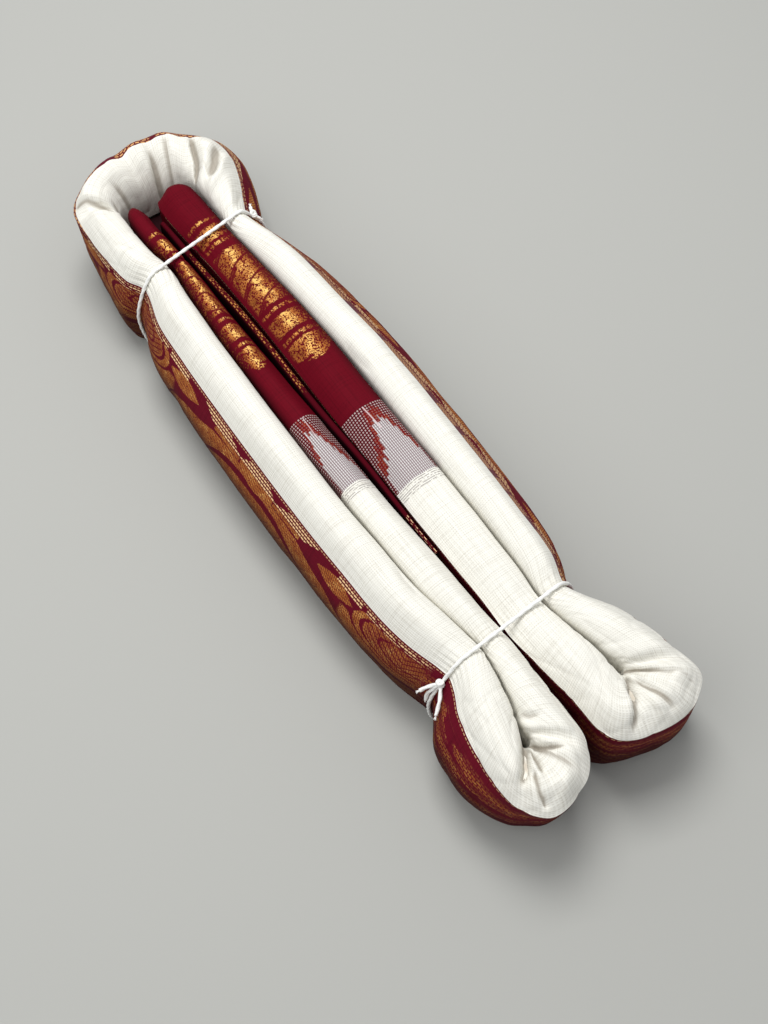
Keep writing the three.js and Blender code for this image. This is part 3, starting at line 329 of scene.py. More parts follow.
@dataclass
class Sheet:
    """A grid of points on the cloth, with all that its pieces and patterns need.

    Args:
        points: Points in millimetres, rows along the strip and columns across it.
        normals: Outward directions at the points.
        along: Distance along the strip of each row.
        across: Distance across the cloth from the outer edge, negative down the wall.
        share: Share of the width from the outer edge to the crease.
        pattern: Third coordinate of the woven pattern.
        hollow: How deep in a crease each point lies, from 0 to 1; the cotton is painted darker there as
            shade.
    """

    points: np.ndarray
    normals: np.ndarray
    along: np.ndarray
    across: np.ndarray
    share: np.ndarray
    pattern: np.ndarray
    hollow: np.ndarray

    def part(self, rows: slice, columns: slice) -> "Sheet":
        """The grid's given rows and columns."""
        return Sheet(*(getattr(self, field.name)[rows, columns] for field in fields(self)))

    def flat_size(self) -> tuple[float, float]:
        """Width and length of the cloth in metres, as if laid flat."""
        wide = np.linalg.norm(np.diff(self.points, axis=1), axis=2).sum(1).mean()
        long = np.linalg.norm(np.diff(self.points, axis=0), axis=2).sum(0).mean()
        return round(float(wide) * MM, 4), round(float(long) * MM, 4)


class Strip:
    """The folded strip as one smooth run of sections, and the cloth's surface over it."""

    # Millimetres, but for the three counts of points and the share CROWDING.
    BELLY = 25.0
    ARM_HEM = 20.0
    CREASE_DEPTH = 16.0
    CREASE_HEM = 21.0
    TIE_LIFT = 3.4
    TIE_REACH = 7.0
    LEVEL = 0.05
    TIP_ROUND = 10.0
    TIP_DROP = 9.0
    STEP = 0.75
    WALL = 34
    TOP = 42
    CREASE = 9
    CROWDING = 0.6  # how far the top's points crowd towards its edges
    LEFT_BANDS = (11.1, 0.963)  # how the left arm's bands are shifted and shrunk against the right's

    def __init__(self) -> None:
        """Lays the tables end to end and measures the distance along them."""
        rows: list[tuple[float, ...]] = []
        self.spans: dict[Stretch, tuple[int, int]] = {}
        for stretch in Stretch:
            first = max(0, len(rows) - 1)
            rows += ROWS[stretch]
            self.spans[stretch] = (first, len(rows) - 1)
        self.table = np.array(rows)
        steps = np.diff(self.table[:, :4], axis=0)
        outer = np.hypot(steps[:, 0], steps[:, 1])
        inner = np.hypot(steps[:, 2], steps[:, 3])
        self.places = np.concatenate([[0], np.cumsum((outer + inner) / 2)])
        self.length = float(self.places[-1])
        self.ties = [float(self.places[3])]
        self.ties += [self.end(stretch) for stretch in list(Stretch)[:-1]]
        self.ties += [float(self.places[-4])]
        self.stations = self._stations()

    def start(self, stretch: Stretch) -> float:
        """Distance at which a stretch starts."""
        return float(self.places[self.spans[stretch][0]])

    def end(self, stretch: Stretch) -> float:
        """Distance at which a stretch ends."""
        return float(self.places[self.spans[stretch][1]])

    def distance(self, stretch: Stretch, row: float) -> float:
        """Distance along the strip of a row of a stretch, which may be a fraction."""
        place = self.spans[stretch][0] + row
        return float(np.interp(place, np.arange(len(self.places)), self.places))

    def distance_of_x(self, stretch: Stretch, x: float) -> float:
        """Distance at which the outer edge of an inner arm has the given x."""
        s = np.linspace(self.start(stretch), self.end(stretch), 4000)
        return float(s[np.abs(self.columns(s)[:, 0] - x).argmin()])

    def _stations(self) -> np.ndarray:
        """Distances of the rows of the grids, with the bounds of all the pieces among them."""
        marks = {0.0, self.length, self.TIP_ROUND, self.length - self.TIP_ROUND}
        for stretch in Stretch:
            marks |= {self.start(stretch), self.end(stretch)}
        for stretch, xs in BAND_CUTS.items():
            marks |= {self.distance_of_x(stretch, x) for x in xs}
        ordered = sorted(marks)
        runs = []
        for low, high in zip(ordered, ordered[1:]):
            count = max(2, math.ceil((high - low) / self.STEP))
            t = np.linspace(0, 1, count, endpoint=False)
            if low == 0.0:
                t = t**2
            elif high == self.length:
                t = 1 - (1 - t) ** 2
            runs.append(low + (high - low) * t)
        return np.concatenate(runs + [[self.length]])

    def columns(self, s: np.ndarray) -> np.ndarray:
        """All the columns of the tables at distances s, on a smooth curve through the rows."""
        i = np.clip(np.searchsorted(self.places, s, side="left") - 1, 0, len(self.places) - 2)
        before = np.maximum(0, np.arange(len(self.places)) - 1)
        after = np.minimum(len(self.places) - 1, np.arange(len(self.places)) + 1)
        apart = (self.places[after] - self.places[before])[:, None]
        slope = (self.table[after] - self.table[before]) / apart
        span = (self.places[i + 1] - self.places[i])[:, None]
        t = (s - self.places[i])[:, None] / span
        return bend(self.table[i], self.table[i + 1], span * slope[i], span * slope[i + 1], t)

    def pleat_depth(self, s: np.ndarray, q: np.ndarray) -> np.ndarray:
        """Depth of all the pleats at distances s (rows) and shares q (columns)."""
        depth = np.zeros((len(s), len(q)))
        for pleat in PLEATS:
            at_rim = self.distance(pleat.stretch, pleat.rim)
            at_inner = self.distance(pleat.stretch, pleat.inner)
            middle = at_rim + (at_inner - at_rim) * q
            start = smoothstep(q, pleat.start - 0.12, pleat.start + 0.18)
            end = (1 - smoothstep(q, pleat.end, pleat.end + 0.2)) * (1 - 0.6 * smoothstep(q, 0.7, 1))
            off = (s[:, None] - middle[None]) / pleat.width
            depth += pleat.depth * (start * end)[None] * np.exp(-(off**2))
        return depth

    def lift(self, s: np.ndarray) -> np.ndarray:
        """How far the underside is drawn up, where a thread passes under it."""
        ties = np.array(self.ties)
        rise = self.TIE_LIFT * np.exp(-(((s[:, None] - ties) / self.TIE_REACH) ** 2))
        total = rise.sum(1)
        return np.where(total < self.LEVEL, 0, total)

    def in_ends(self, s: np.ndarray) -> np.ndarray:
        """True where a distance lies on one of the folded ends."""
        first = self.distance_of_x(Stretch.LEFT_INNER, BAND_CUTS[Stretch.LEFT_INNER][0])
        last = self.distance_of_x(Stretch.RIGHT_INNER, BAND_CUTS[Stretch.RIGHT_INNER][0])
        return (s < first + 1e-6) | (s > last - 1e-6)

    def surface(self, hem: float, relief: "Relief") -> Sheet:
        """The cloth from the foot of the outer wall, over the top and down into the crease.

        Args:
            hem: Height of the wall's lower edge.
            relief: Gives how far the cloth stands off its plain form, in millimetres.

        Returns:
            The grid of the whole strip.
        """
        s = self.stations
        section = Sections(self, s)
        low = np.maximum(hem, section.lift)
        wall_z = low + np.linspace(0, 1, self.WALL)[None, :-1] * (section.rim_z - low)
        even = np.linspace(0, 1, self.TOP)
        crowded = (1 - np.cos(np.pi * even)) / 2
        q = self.CROWDING * crowded + (1 - self.CROWDING) * even
        top_z = section.top(q) - self.pleat_depth(s, q)
        crease_low = np.maximum(self.CREASE_HEM, section.in_z - self.CREASE_DEPTH)
        crease_low = np.where(self.in_ends(s)[:, None], self.ARM_HEM, crease_low)
        down = np.linspace(0, 1, self.CREASE + 1)[None, 1:]
        crease_z = top_z[:, -1:] + down * (crease_low - top_z[:, -1:])

        edge = np.repeat(section.width, self.CREASE, 1)
        offset = np.concatenate([-section.swell(wall_z), q * section.width, edge], 1)
        points = section.points(offset, np.concatenate([wall_z, top_z, crease_z], 1))
        run = run_across(points, self.WALL - 1)
        along = np.repeat(s[:, None], points.shape[1], 1)
        share = np.concatenate([np.zeros(self.WALL - 1), q, np.ones(self.CREASE)])
        lifted = points + self.normals(points) * relief(along, run)[..., None]
        lifted[..., 2] -= relief.sunk(points)
        return Sheet(
            lifted,
            self.normals(lifted),
            along,
            run,
            np.repeat(share[None], len(s), 0),
            self.pattern(s, run),
            relief.hollows(points),
        )

    @staticmethod
    def normals(points: np.ndarray) -> np.ndarray:
        """Outward unit normals of a grid of points."""
        normal = np.cross(np.gradient(points, axis=1), np.gradient(points, axis=0))
        return normal / np.maximum(np.linalg.norm(normal, axis=2, keepdims=True), 1e-9)

    def pattern(self, s: np.ndarray, run: np.ndarray) -> np.ndarray:
        """Third pattern coordinate: place in the end piece, or on walls the share of brick weave."""
        x = self.columns(s)[:, 0]
        left = s < self.end(Stretch.LEFT_INNER)
        right = s > self.start(Stretch.RIGHT_INNER)
        shift, scale = self.LEFT_BANDS
        top = np.where(left, (x + shift) / scale, np.where(right, x, NO_BANDS))
        turn = np.zeros(len(s))
        for low, high, fade, past in BRICK_RUNS:
            turn = np.maximum(
                turn,
                smoothstep(s, self.start(low) - fade, self.start(low) + fade)
                * (1 - smoothstep(s, self.end(high) + past - fade, self.end(high) + past + fade)),
            )
        for stretch, table in ROLLED_RIMS.items():
            places = [self.distance(stretch, row) for row, _ in table]
            top = top - np.interp(s, places, [reach for _, reach in table], left=0, right=0)
        return np.where(run < 0, turn[:, None], top[:, None])

    def rows(self, low: float, high: float) -> slice:
        """Rows of the grids from one distance to another."""
        first = int(np.abs(self.stations - low).argmin())
        last = int(np.abs(self.stations - high).argmin())
        return slice(first, last + 1)


class Sections:
    """Sections of the strip at some distances along it, in millimetres."""

    def __init__(self, strip: Strip, s: np.ndarray) -> None:
        """Reads the tables at distances s, and rounds the folded ends."""
        columns = (column[:, None] for column in strip.columns(s).T)
        rim_x, rim_y, in_x, in_y, rim_z, crest, in_z, self.bulge, self.foot, self.peak = columns
        self.full = np.hypot(in_x - rim_x, in_y - rim_y)
        self.rim = np.concatenate([rim_x, rim_y], 1)
        self.across = np.concatenate([in_x - rim_x, in_y - rim_y], 1) / self.full
        from_end = np.minimum(s, strip.length - s)[:, None]
        rounding = np.sqrt(1 - (1 - np.minimum(from_end / strip.TIP_ROUND, 1)) ** 2)
        self.width = self.full * rounding
        drop = strip.TIP_DROP * (1 - rounding)
        self.rim_z, self.crest, self.in_z = rim_z - drop, crest - drop, in_z - drop
        self.lift = strip.lift(s)[:, None]

    def swell(self, z: np.ndarray) -> np.ndarray:
        """How far the outer wall stands out at heights z."""
        belly = Strip.BELLY
        upper = np.clip((z - belly) / (self.rim_z - belly), 0, 1)
        under = np.clip((belly - z) / belly, 0, 1)
        above = self.bulge * np.cos(np.pi / 2 * upper)
        return np.where(z > belly, above, self.bulge - (self.bulge - self.foot) * under**2)

    def top(
        self, q: np.ndarray, sink: float | np.ndarray = 0.0, edge: np.ndarray | None = None
    ) -> np.ndarray:
        """Heights of the top.

        Args:
            q: Shares of the width, from the outer edge.
            sink: How far under the cloth's own top it lies.
            edge: Its height at the outer edge, where that isn't the rim.

        Returns:
            The heights at each share.
        """
        low_rim = self.rim_z if edge is None else edge
        crest, low_in = self.crest - sink, self.in_z - sink
        rise = low_rim + (crest - low_rim) * np.sin(np.pi / 2 * np.minimum(q / self.peak, 1))
        past = np.maximum(q - self.peak, 0) / (1 - self.peak)
        fall = low_in + (crest - low_in) * np.sqrt(np.clip(1 - past**2, 0, 1))
        return np.where(q < self.peak, rise, fall)

    def points(self, offset: np.ndarray, z: np.ndarray, inset: float | np.ndarray = 0.0) -> np.ndarray:
        """Points at offsets from the outer edge towards the crease, and at heights z."""
        start = self.rim + self.across * ((self.full - self.width) / 2 + inset)
        plan = start[:, None] + self.across[:, None] * offset[..., None]
        return np.concatenate([plan, z[..., None]], 2)


def run_across(points: np.ndarray, zero: int) -> np.ndarray:
    """Distance over the cloth across a grid of points, from the column numbered zero."""
    steps = np.linalg.norm(np.diff(points, axis=1), axis=2)
    run = np.concatenate([np.zeros((len(points), 1)), np.cumsum(steps, 1)], 1)
    return run - run[:, zero : zero + 1]


# Where the colours change along the inner arms, as x in the frame of the tables.
BAND_CUTS = {
    Stretch.LEFT_INNER: (-139.0, -14.7, 23.2),
    Stretch.RIGHT_INNER: (-141.0, -4.0, 35.8),
}
# Stretches whose wall is woven in bricks and lines instead of leaves: the first and the last, how
# slowly it changes at both ends, and how far it runs on.
BRICK_RUNS = (
    (Stretch.LEFT_INNER, Stretch.LEFT_TURN, 12.0, 8.0),
    (Stretch.RIGHT_TURN, Stretch.RIGHT_INNER, 12.0, 0.0),
)

# Where the border rolls over the outer rim: rows of a stretch, and how far over in millimetres.
ROLLED_RIMS = {
    Stretch.HEAD: (
        (2.2, 0.0), (3.6, 1.6), (4.5, 4.0), (5.2, 10.5), (6.4, 13.0), (7.4, 11.5), (7.9, 13.2), (8.5, 12.0),
        (9.1, 13.2), (9.8, 12.4), (10.5, 10.4), (11.2, 9.6), (12.0, 3.0), (13.5, 1.6), (16.0, 1.6),
    ),
    Stretch.RIGHT_OUTER: ((0.0, 1.6), (1.0, 5.5), (3.0, 7.0), (5.0, 6.0), (7.0, 6.5), (8.9, 1.5)),
}


class Relief:
    """What stands off the plain form: long waves, gathers at the ties and single creases."""

    def __init__(self, strip: Strip) -> None:
        """Keeps the strip whose ties gather the cloth."""
        self.strip = strip

    def __call__(self, along: np.ndarray, across: np.ndarray) -> np.ndarray:
        """How far the cloth stands off its plain form at each point, in millimetres."""
        relief = self.waves(along, across) + self.gathers(along, across)
        relief -= self.wall_folds(along, across) + self.crumple(along, across)
        tip = np.minimum(along, self.strip.length - along)
        return relief * smoothstep(tip, 0, 6)

    @classmethod
    def sunk(cls, points: np.ndarray) -> np.ndarray:
        """How far the creases let the cloth down at each point, in millimetres."""
        return sum(cls.crease(crease, points) for crease in CREASES)

    @classmethod
    def hollows(cls, points: np.ndarray) -> np.ndarray:
        """How deep in the narrow bottom of a crease each point lies, from 0 to 1; it sets the cotton's
        painted shade.
        """
        total = np.zeros(points.shape[:2])
        for crease in CREASES:
            if crease.depth > 0:
                narrow = replace(crease, left=0.6 * crease.left, right=0.6 * crease.right)
                total += cls.crease(narrow, points) / 2.6
        return np.clip(total, 0, 1)

    @staticmethod
    def waves(along: np.ndarray, across: np.ndarray) -> np.ndarray:
        """Slow waves that run unevenly along and across the cloth."""
        slow = np.sin(along / 17.3 + 0.9 * np.sin(along / 41.0)) * np.sin(across / 6.1 + along / 63)
        fine = np.sin(along / 6.7 + across / 9.0 + 1.7 * np.sin(along / 23.0))
        return 0.22 * slow + 0.07 * fine

    def gathers(self, along: np.ndarray, across: np.ndarray) -> np.ndarray:
        """Small folds that run out from under the ties."""
        total = np.zeros_like(along)
        for k, tie in enumerate(self.strip.ties):
            off = np.abs(along - tie)
            pitch = 2.7 + 0.35 * math.sin(3.1 * k)
            folds = np.sin(2 * np.pi * (across + 0.05 * off) / pitch + 1.3 * k)
            total += 0.2 * folds * np.exp(-((off / 7.5) ** 2)) - 0.35 * np.exp(-((off / 1.5) ** 2))
        return total

    @staticmethod
    def wall_folds(along: np.ndarray, across: np.ndarray) -> np.ndarray:
        """Upright troughs of the outer walls, uneven in depth and spacing."""
        place = along / 7.3 + 1.4 * np.sin(along / 31.0) + 0.02 * across
        deep = np.clip(np.sin(place) - 0.35, 0, 1) * (0.6 + 0.4 * np.sin(along / 13.0 + 2.0))
        return 0.7 * deep * smoothstep(-across, 5, 16)

    def crumple(self, along: np.ndarray, across: np.ndarray) -> np.ndarray:
        """Fine sharp creases of the turns, faint on the arms."""
        total = np.zeros_like(along)
        for k, (pitch, lean) in enumerate(((5.9, 8.3), (7.7, -6.1), (11.3, 4.7))):
            bend = 1.1 * np.sin(across / 7.0 + along / (9.0 + 2 * k) + k)
            total += (1 - np.abs(np.sin(along / pitch + across / lean + bend))) ** 4
        amount = np.full_like(along, 0.04)
        for stretch, depth in ((Stretch.LEFT_TURN, 0.34), (Stretch.HEAD, 0.16), (Stretch.RIGHT_TURN, 0.34)):
            low, high = self.strip.start(stretch), self.strip.end(stretch)
            amount += depth * smoothstep(along, low, low + 25) * (1 - smoothstep(along, high - 25, high))
        return amount * total

    @staticmethod
    def crease(crease: Crease, points: np.ndarray) -> np.ndarray:
        """Depth of one crease at each point."""
        line = np.array(crease.line)
        lengths = np.linalg.norm(np.diff(line, axis=0), axis=1)
        total = lengths.sum()
        reach = 4 * max(crease.left, crease.right)
        low, high = line.min(0) - reach, line.max(0) + reach
        plan = points[..., :2]
        near = ((plan > low) & (plan < high)).all(-1)
        at = plan[near]
        best = np.full(len(at), 1e9)
        depth = np.zeros(len(at))
        passed = 0.0
        for a, b, size in zip(line, line[1:], lengths):
            step = (b - a) / size
            t = np.clip((at - a) @ step, 0, size)
            away = at - a - t[:, None] * step
            off = np.hypot(away[:, 0], away[:, 1])
            side = step[0] * away[:, 1] - step[1] * away[:, 0]
            spread = np.where(side > 0, crease.left, crease.right)
            place = (passed + t) / total
            fade = smoothstep(place, -0.02, crease.fade) * (1 - smoothstep(place, 1 - crease.fade, 1.02))
            closer = off < best
            best = np.where(closer, off, best)
            depth = np.where(closer, crease.depth * fade * np.exp(-((off / spread) ** 2)), depth)
            passed += size
        result = np.zeros(points.shape[:2])
        result[near] = depth * smoothstep(points[near][:, 2], 26, 36)
        return result


class Graph:
    """Short-hand for making the nodes of one tree."""

    def __init__(self, tree: bpy.types.NodeTree) -> None:
        """Keeps the tree that nodes are made in."""
        self.tree = tree

    def node(self, kind: str, inputs: dict[str | int, Value] | None = None, **settings) -> bpy.types.Node:
        """Makes a node.

        Args:
            kind: Its type.
            inputs: Values or sockets for its inputs, by name or number.
            settings: Properties to set on it.

        Returns:
            The node.
        """
        made = self.tree.nodes.new(kind)
        for name, value in settings.items():
            setattr(made, name, value)
        for key, value in (inputs or {}).items():
            self.feed(made.inputs[key], value)
        return made

    def feed(self, socket: Socket, value: Value) -> None:
        """Links a socket to an input, or sets the input's value."""
        if isinstance(value, bpy.types.NodeSocket):
            self.tree.links.new(value, socket)
        else:
            socket.default_value = value

    def math(self, operation: str, *values: Value, clamp: bool = False) -> Socket:
        """Result of a math node."""
        inputs = dict(enumerate(values))
        return self.node("ShaderNodeMath", inputs, operation=operation, use_clamp=clamp).outputs[0]

    def add(self, a: Value, b: Value) -> Socket:
        """Sum of two values."""
        return self.math("ADD", a, b)

    def mul(self, a: Value, b: Value) -> Socket:
        """Product of two values."""
        return self.math("MULTIPLY", a, b)

    def both(self, *masks: Value) -> Socket:
        """Product of several masks."""
        return reduce(self.mul, masks)

    def step(self, value: Value, low: float, high: float) -> Socket:
        """Smooth step of a value from 0 at low to 1 at high."""
        made = self.node(
            "ShaderNodeMapRange",
            {"Value": value, "From Min": low, "From Max": high},
            interpolation_type="SMOOTHSTEP",
        )
        return made.outputs["Result"]

    def within(self, value: Value, low: float, high: float, soft: float = 0.25) -> Socket:
        """1 where a value lies between two bounds, with soft edges."""
        rising = self.step(value, low - soft, low + soft)
        falling = self.step(value, high + soft, high - soft)
        return self.mul(rising, falling)

    def curve(self, value: Value, reach: float, height: float, points: Sequence[tuple]) -> Socket:
        """A smooth curve through points.

        Args:
            value: Where to read it.
            reach: Largest place on it.
            height: Largest value that it gives.
            points: Its points, as places and values, from 0 up to the largest.

        Returns:
            Its value there.
        """
        made = self.node("ShaderNodeFloatCurve", {1: self.math("DIVIDE", value, reach)})
        drawn = made.mapping.curves[0].points
        while len(drawn) < len(points):
            drawn.new(0.5, 0.5)
        for point, (place, level) in zip(drawn, points):
            point.location = (place / reach, level / height)
        made.mapping.update()
        return self.mul(made.outputs[0], height)

    def most(self, *masks: Value) -> Socket:
        """Largest of several masks."""
        return reduce(lambda a, b: self.math("MAXIMUM", a, b), masks)

    def sub(self, a: Value, b: Value) -> Socket:
        """Difference of two values."""
        return self.math("SUBTRACT", a, b)

    def less(self, mask: Value) -> Socket:
        """One less a mask."""
        return self.sub(1.0, mask)

    def noise(self, vector: Value, scale: float, detail: float = 2.0, rough: float = 0.5) -> Socket:
        """Noise between 0 and 1."""
        inputs = {"Vector": vector, "Scale": scale, "Detail": detail, "Roughness": rough}
        return self.node("ShaderNodeTexNoise", inputs).outputs["Fac"]

    def vector(self, x: Value, y: Value, z: Value = 0.0) -> Socket:
        """A vector of three values."""
        return self.node("ShaderNodeCombineXYZ", {0: x, 1: y, 2: z}).outputs[0]

    def mix(self, factor: Value, a: Value, b: Value) -> Socket:
        """Mix of two colours."""
        return self.node("ShaderNodeMix", {0: factor, 6: a, 7: b}, data_type="RGBA").outputs[2]

    def group(self, tree: bpy.types.NodeTree, inputs: dict[str | int, Value]) -> bpy.types.Node:
        """A group node of a tree."""
        return self.node("ShaderNodeGroup", inputs, node_tree=tree)

    def dashes(
        self,
        tree: bpy.types.NodeTree,
        along: Value,
        across: Value,
        pitch: tuple[float, float],
        fill: tuple[float, float],
        stagger: float,
    ) -> Socket:
        """Mask of rows of woven dashes.

        Args:
            tree: The group of dash rows.
            along: Place along the rows.
            across: Place across them.
            pitch: From row to row, and from dash to dash.
            fill: Share of the two pitches that a dash covers.
            stagger: Shift from one row to the next, in dash pitches.

        Returns:
            1 on a dash and 0 between dashes.
        """
        inputs = {"Along": along, "Across": across, "Row pitch": pitch[0], "Dash pitch": pitch[1]}
        inputs |= {"Row fill": fill[0], "Dash fill": fill[1], "Stagger": stagger}
        return self.group(tree, inputs).outputs["Mask"]

    def woven(
        self, tree: bpy.types.NodeTree, along: Value, across: Value, pitch: tuple[float, float], slubs: float
    ) -> tuple[Socket, Socket]:
        """Shade and height of a plain weave.

        Args:
            tree: The group of the plain weave.
            along: Place along the warp.
            across: Place across it.
            pitch: Pitch of the warp and of the weft.
            slubs: How much its thick threads show.

        Returns:
            How dark it is, and how high.
        """
        inputs = {"Along": along, "Across": across, "Warp pitch": pitch[0], "Weft pitch": pitch[1]}
        made = self.group(tree, inputs | {"Slubs": slubs})
        return made.outputs["Shade"], made.outputs["Height"]


def colour(red: float, green: float, blue: float) -> tuple[float, float, float, float]:
    """A colour for a socket, from screen values between 0 and 255."""

    def linear(value: float) -> float:
        """Linear light of one screen value."""
        share = value / 255
        return share / 12.92 if share <= 0.04045 else ((share + 0.055) / 1.055) ** 2.4

    return linear(red), linear(green), linear(blue), 1.0


class Groups:
    """The shared shader groups, each built once. Lengths in them are millimetres."""

    # Middle lines of the border's two plain waves: distance from the motif's middle, distance
    # below the rim.
    first_wave = (
        (0, 7.8), (30, 8.0), (36, 8.8), (45, 10.4), (55, 13.2), (64, 18.0), (76, 32.0), (100, 40.0),
    )
    second_wave = (
        (0, 12.0), (12, 12.2), (20, 13.6), (27, 16.5), (32, 20.5), (37, 27.0), (43, 35.0), (100, 60.0),
    )
    first_half_width = ((0, 0.3), (30, 0.35), (36, 1.0), (44, 1.9), (56, 1.1), (100, 1.2))

    def __init__(self) -> None:
        """Builds all the groups."""
        self.weave = self._weave()
        self.rows = self._rows()
        self.zari = self._zari()
        self.leaves = self._leaves()

    @staticmethod
    def _tree(
        name: str, inputs: dict[str, float], outputs: Sequence[str]
    ) -> tuple[Graph, dict[str, Socket], bpy.types.Node]:
        """Makes an empty group.

        Args:
            name: Its name.
            inputs: Names and starting values of its inputs.
            outputs: Names of its outputs; one that ends in Colour is a colour.

        Returns:
            A graph in it, its input sockets by name, and the node that collects its outputs.
        """
        tree = bpy.data.node_groups.new(name, "ShaderNodeTree")
        for label, value in inputs.items():
            made = tree.interface.new_socket(label, in_out="INPUT", socket_type="NodeSocketFloat")
            made.default_value = value
        for label in outputs:
            kind = "NodeSocketColor" if label.endswith("Colour") else "NodeSocketFloat"
            tree.interface.new_socket(label, in_out="OUTPUT", socket_type=kind)
        graph = Graph(tree)
        source = graph.node("NodeGroupInput")
        sink = graph.node("NodeGroupOutput")
        return graph, {label: source.outputs[label] for label in inputs}, sink

    def _weave(self) -> bpy.types.NodeTree:
        """Plain weave of uneven threads."""
        g, given, out = self._tree(
            "Plain weave",
            {"Along": 0.0, "Across": 0.0, "Warp pitch": 0.9, "Weft pitch": 0.9, "Slubs": 0.5},
            ("Height", "Shade"),
        )
        drift = g.noise(g.vector(given["Along"], given["Across"]), 0.11, 2)
        wander = g.mul(g.add(drift, -0.5), 2.2)
        warp = g.math("DIVIDE", g.add(given["Across"], wander), given["Warp pitch"])
        weft = g.math("DIVIDE", g.add(given["Along"], wander), given["Weft pitch"])
        warp_wave = g.math("SINE", g.mul(warp, math.tau))
        weft_wave = g.math("SINE", g.mul(weft, math.tau))
        height = g.add(g.mul(g.add(warp_wave, weft_wave), 0.2), 0.5)
        lengthwise = g.noise(g.vector(g.mul(given["Along"], 0.035), g.mul(given["Across"], 1.6)), 1.0, 2)
        crosswise = g.noise(g.vector(g.mul(given["Along"], 1.7), g.mul(given["Across"], 0.05)), 1.0, 2)
        streaks = g.add(g.step(lengthwise, 0.42, 0.72), g.step(crosswise, 0.45, 0.75))
        cells = g.mul(g.math("MAXIMUM", warp_wave, weft_wave), -0.22)
        shade = g.add(g.mul(streaks, given["Slubs"]), g.mul(g.add(cells, 0.22), 0.85))
        g.feed(out.inputs["Height"], g.add(height, g.mul(streaks, 0.25)))
        g.feed(out.inputs["Shade"], shade)
        return g.tree

    def _rows(self) -> bpy.types.NodeTree:
        """Rows of short woven dashes."""
        g, given, out = self._tree(
            "Dash rows",
            {"Along": 0.0, "Across": 0.0, "Row pitch": 0.8, "Dash pitch": 2.0}
            | {"Row fill": 0.5, "Dash fill": 0.7, "Stagger": 0.5},
            ("Mask",),
        )
        row = g.math("DIVIDE", given["Across"], given["Row pitch"])
        number = g.math("FLOOR", row)
        place = g.math("DIVIDE", given["Along"], given["Dash pitch"])
        shifted = g.add(place, g.mul(number, given["Stagger"]))
        masks = []
        for value, fill in ((row, given["Row fill"]), (shifted, given["Dash fill"])):
            off = g.math("ABSOLUTE", g.add(g.math("FRACT", value), -0.5))
            edge = g.sub(g.mul(fill, 0.5), off)
            masks.append(g.step(edge, -0.06, 0.06))
        g.feed(out.inputs["Mask"], g.both(*masks))
        return g.tree

    def _zari(self) -> bpy.types.NodeTree:
        """Gilt thread: copper to gold, with speckles where the ground shows through."""
        g, given, out = self._tree(
            "Zari thread",
            {"Along": 0.0, "Across": 0.0, "Speckle": 0.5, "Bright": 0.5},
            ("Thread Colour", "Cover"),
        )
        place = g.vector(given["Along"], given["Across"])
        broad = g.noise(place, 0.22, 2)
        fine = g.noise(g.vector(given["Along"], g.mul(given["Across"], 1.4)), 1.7, 2, 0.7)
        tone = g.add(g.mul(broad, 0.45), g.mul(fine, 0.75))
        tone = g.add(tone, g.mul(g.add(given["Bright"], -0.5), 0.6))
        dark = g.mix(g.step(tone, 0.3, 0.6), colour(104, 50, 24), colour(176, 106, 50))
        gold = g.mix(g.step(tone, 0.6, 0.78), dark, colour(246, 200, 116))
        holes = g.noise(g.vector(given["Along"], given["Across"], 7.0), 1.5, 1)
        bound = g.less(g.mul(given["Speckle"], 0.82))
        over = g.sub(bound, holes)
        g.feed(out.inputs["Thread Colour"], gold)
        g.feed(out.inputs["Cover"], g.step(over, -0.02, 0.05))
        return g.tree

    def _leaves(self) -> bpy.types.NodeTree:
        """Border motif, the same on both sides of its middle: bud, leaf, two waves and a paisley."""
        g, given, out = self._tree(
            "Leaf border",
            {"Along": 0.0, "Below": 0.0, "Middle": 504.0, "Repeat": 200.0},
            ("Gilt", "Cream", "Ribs"),
        )
        below, along = given["Below"], given["Along"]
        half = g.mul(given["Repeat"], 0.5)
        turned = g.add(g.sub(along, given["Middle"]), half)
        ragged = g.noise(g.vector(along, below), 0.9, 1)
        cell = g.math("FLOORED_MODULO", turned, given["Repeat"])
        far = g.add(g.math("ABSOLUTE", g.sub(cell, half)), g.mul(g.add(ragged, -0.5), 1.2))
        down = g.add(below, g.mul(g.add(ragged, -0.5), 0.9))

        first = g.curve(far, 100.0, 40.0, self.first_wave)
        second = g.curve(far, 100.0, 60.0, self.second_wave)
        first_half = g.curve(far, 100.0, 4.0, self.first_half_width)
        from_first = g.sub(down, first)
        from_second = g.sub(down, second)
        above = g.both(
            g.step(g.sub(g.mul(from_first, -1.0), first_half), -0.15, 0.25),
            g.step(far, 63.0, 66.0), g.step(down, 9.5, 11.0),
        )
        wave = g.both(
            g.most(above, g.step(g.sub(from_first, first_half), -0.15, 0.25)),
            g.less(g.both(g.within(from_second, -1.7, 1.5, 0.2), g.step(far, 48.0, 44.0))),
            g.less(g.both(g.within(down, 22.0, 25.5, 0.3), g.step(far, 80.0, 86.0))),
        )
        veins = g.math("FRACT", g.add(g.mul(far, 0.11), g.mul(down, 0.085)))
        vein = g.both(g.within(veins, 0.0, 0.07, 0.02), g.step(down, 16.5, 18.0), 0.8)
        wave = g.both(wave, g.less(vein))

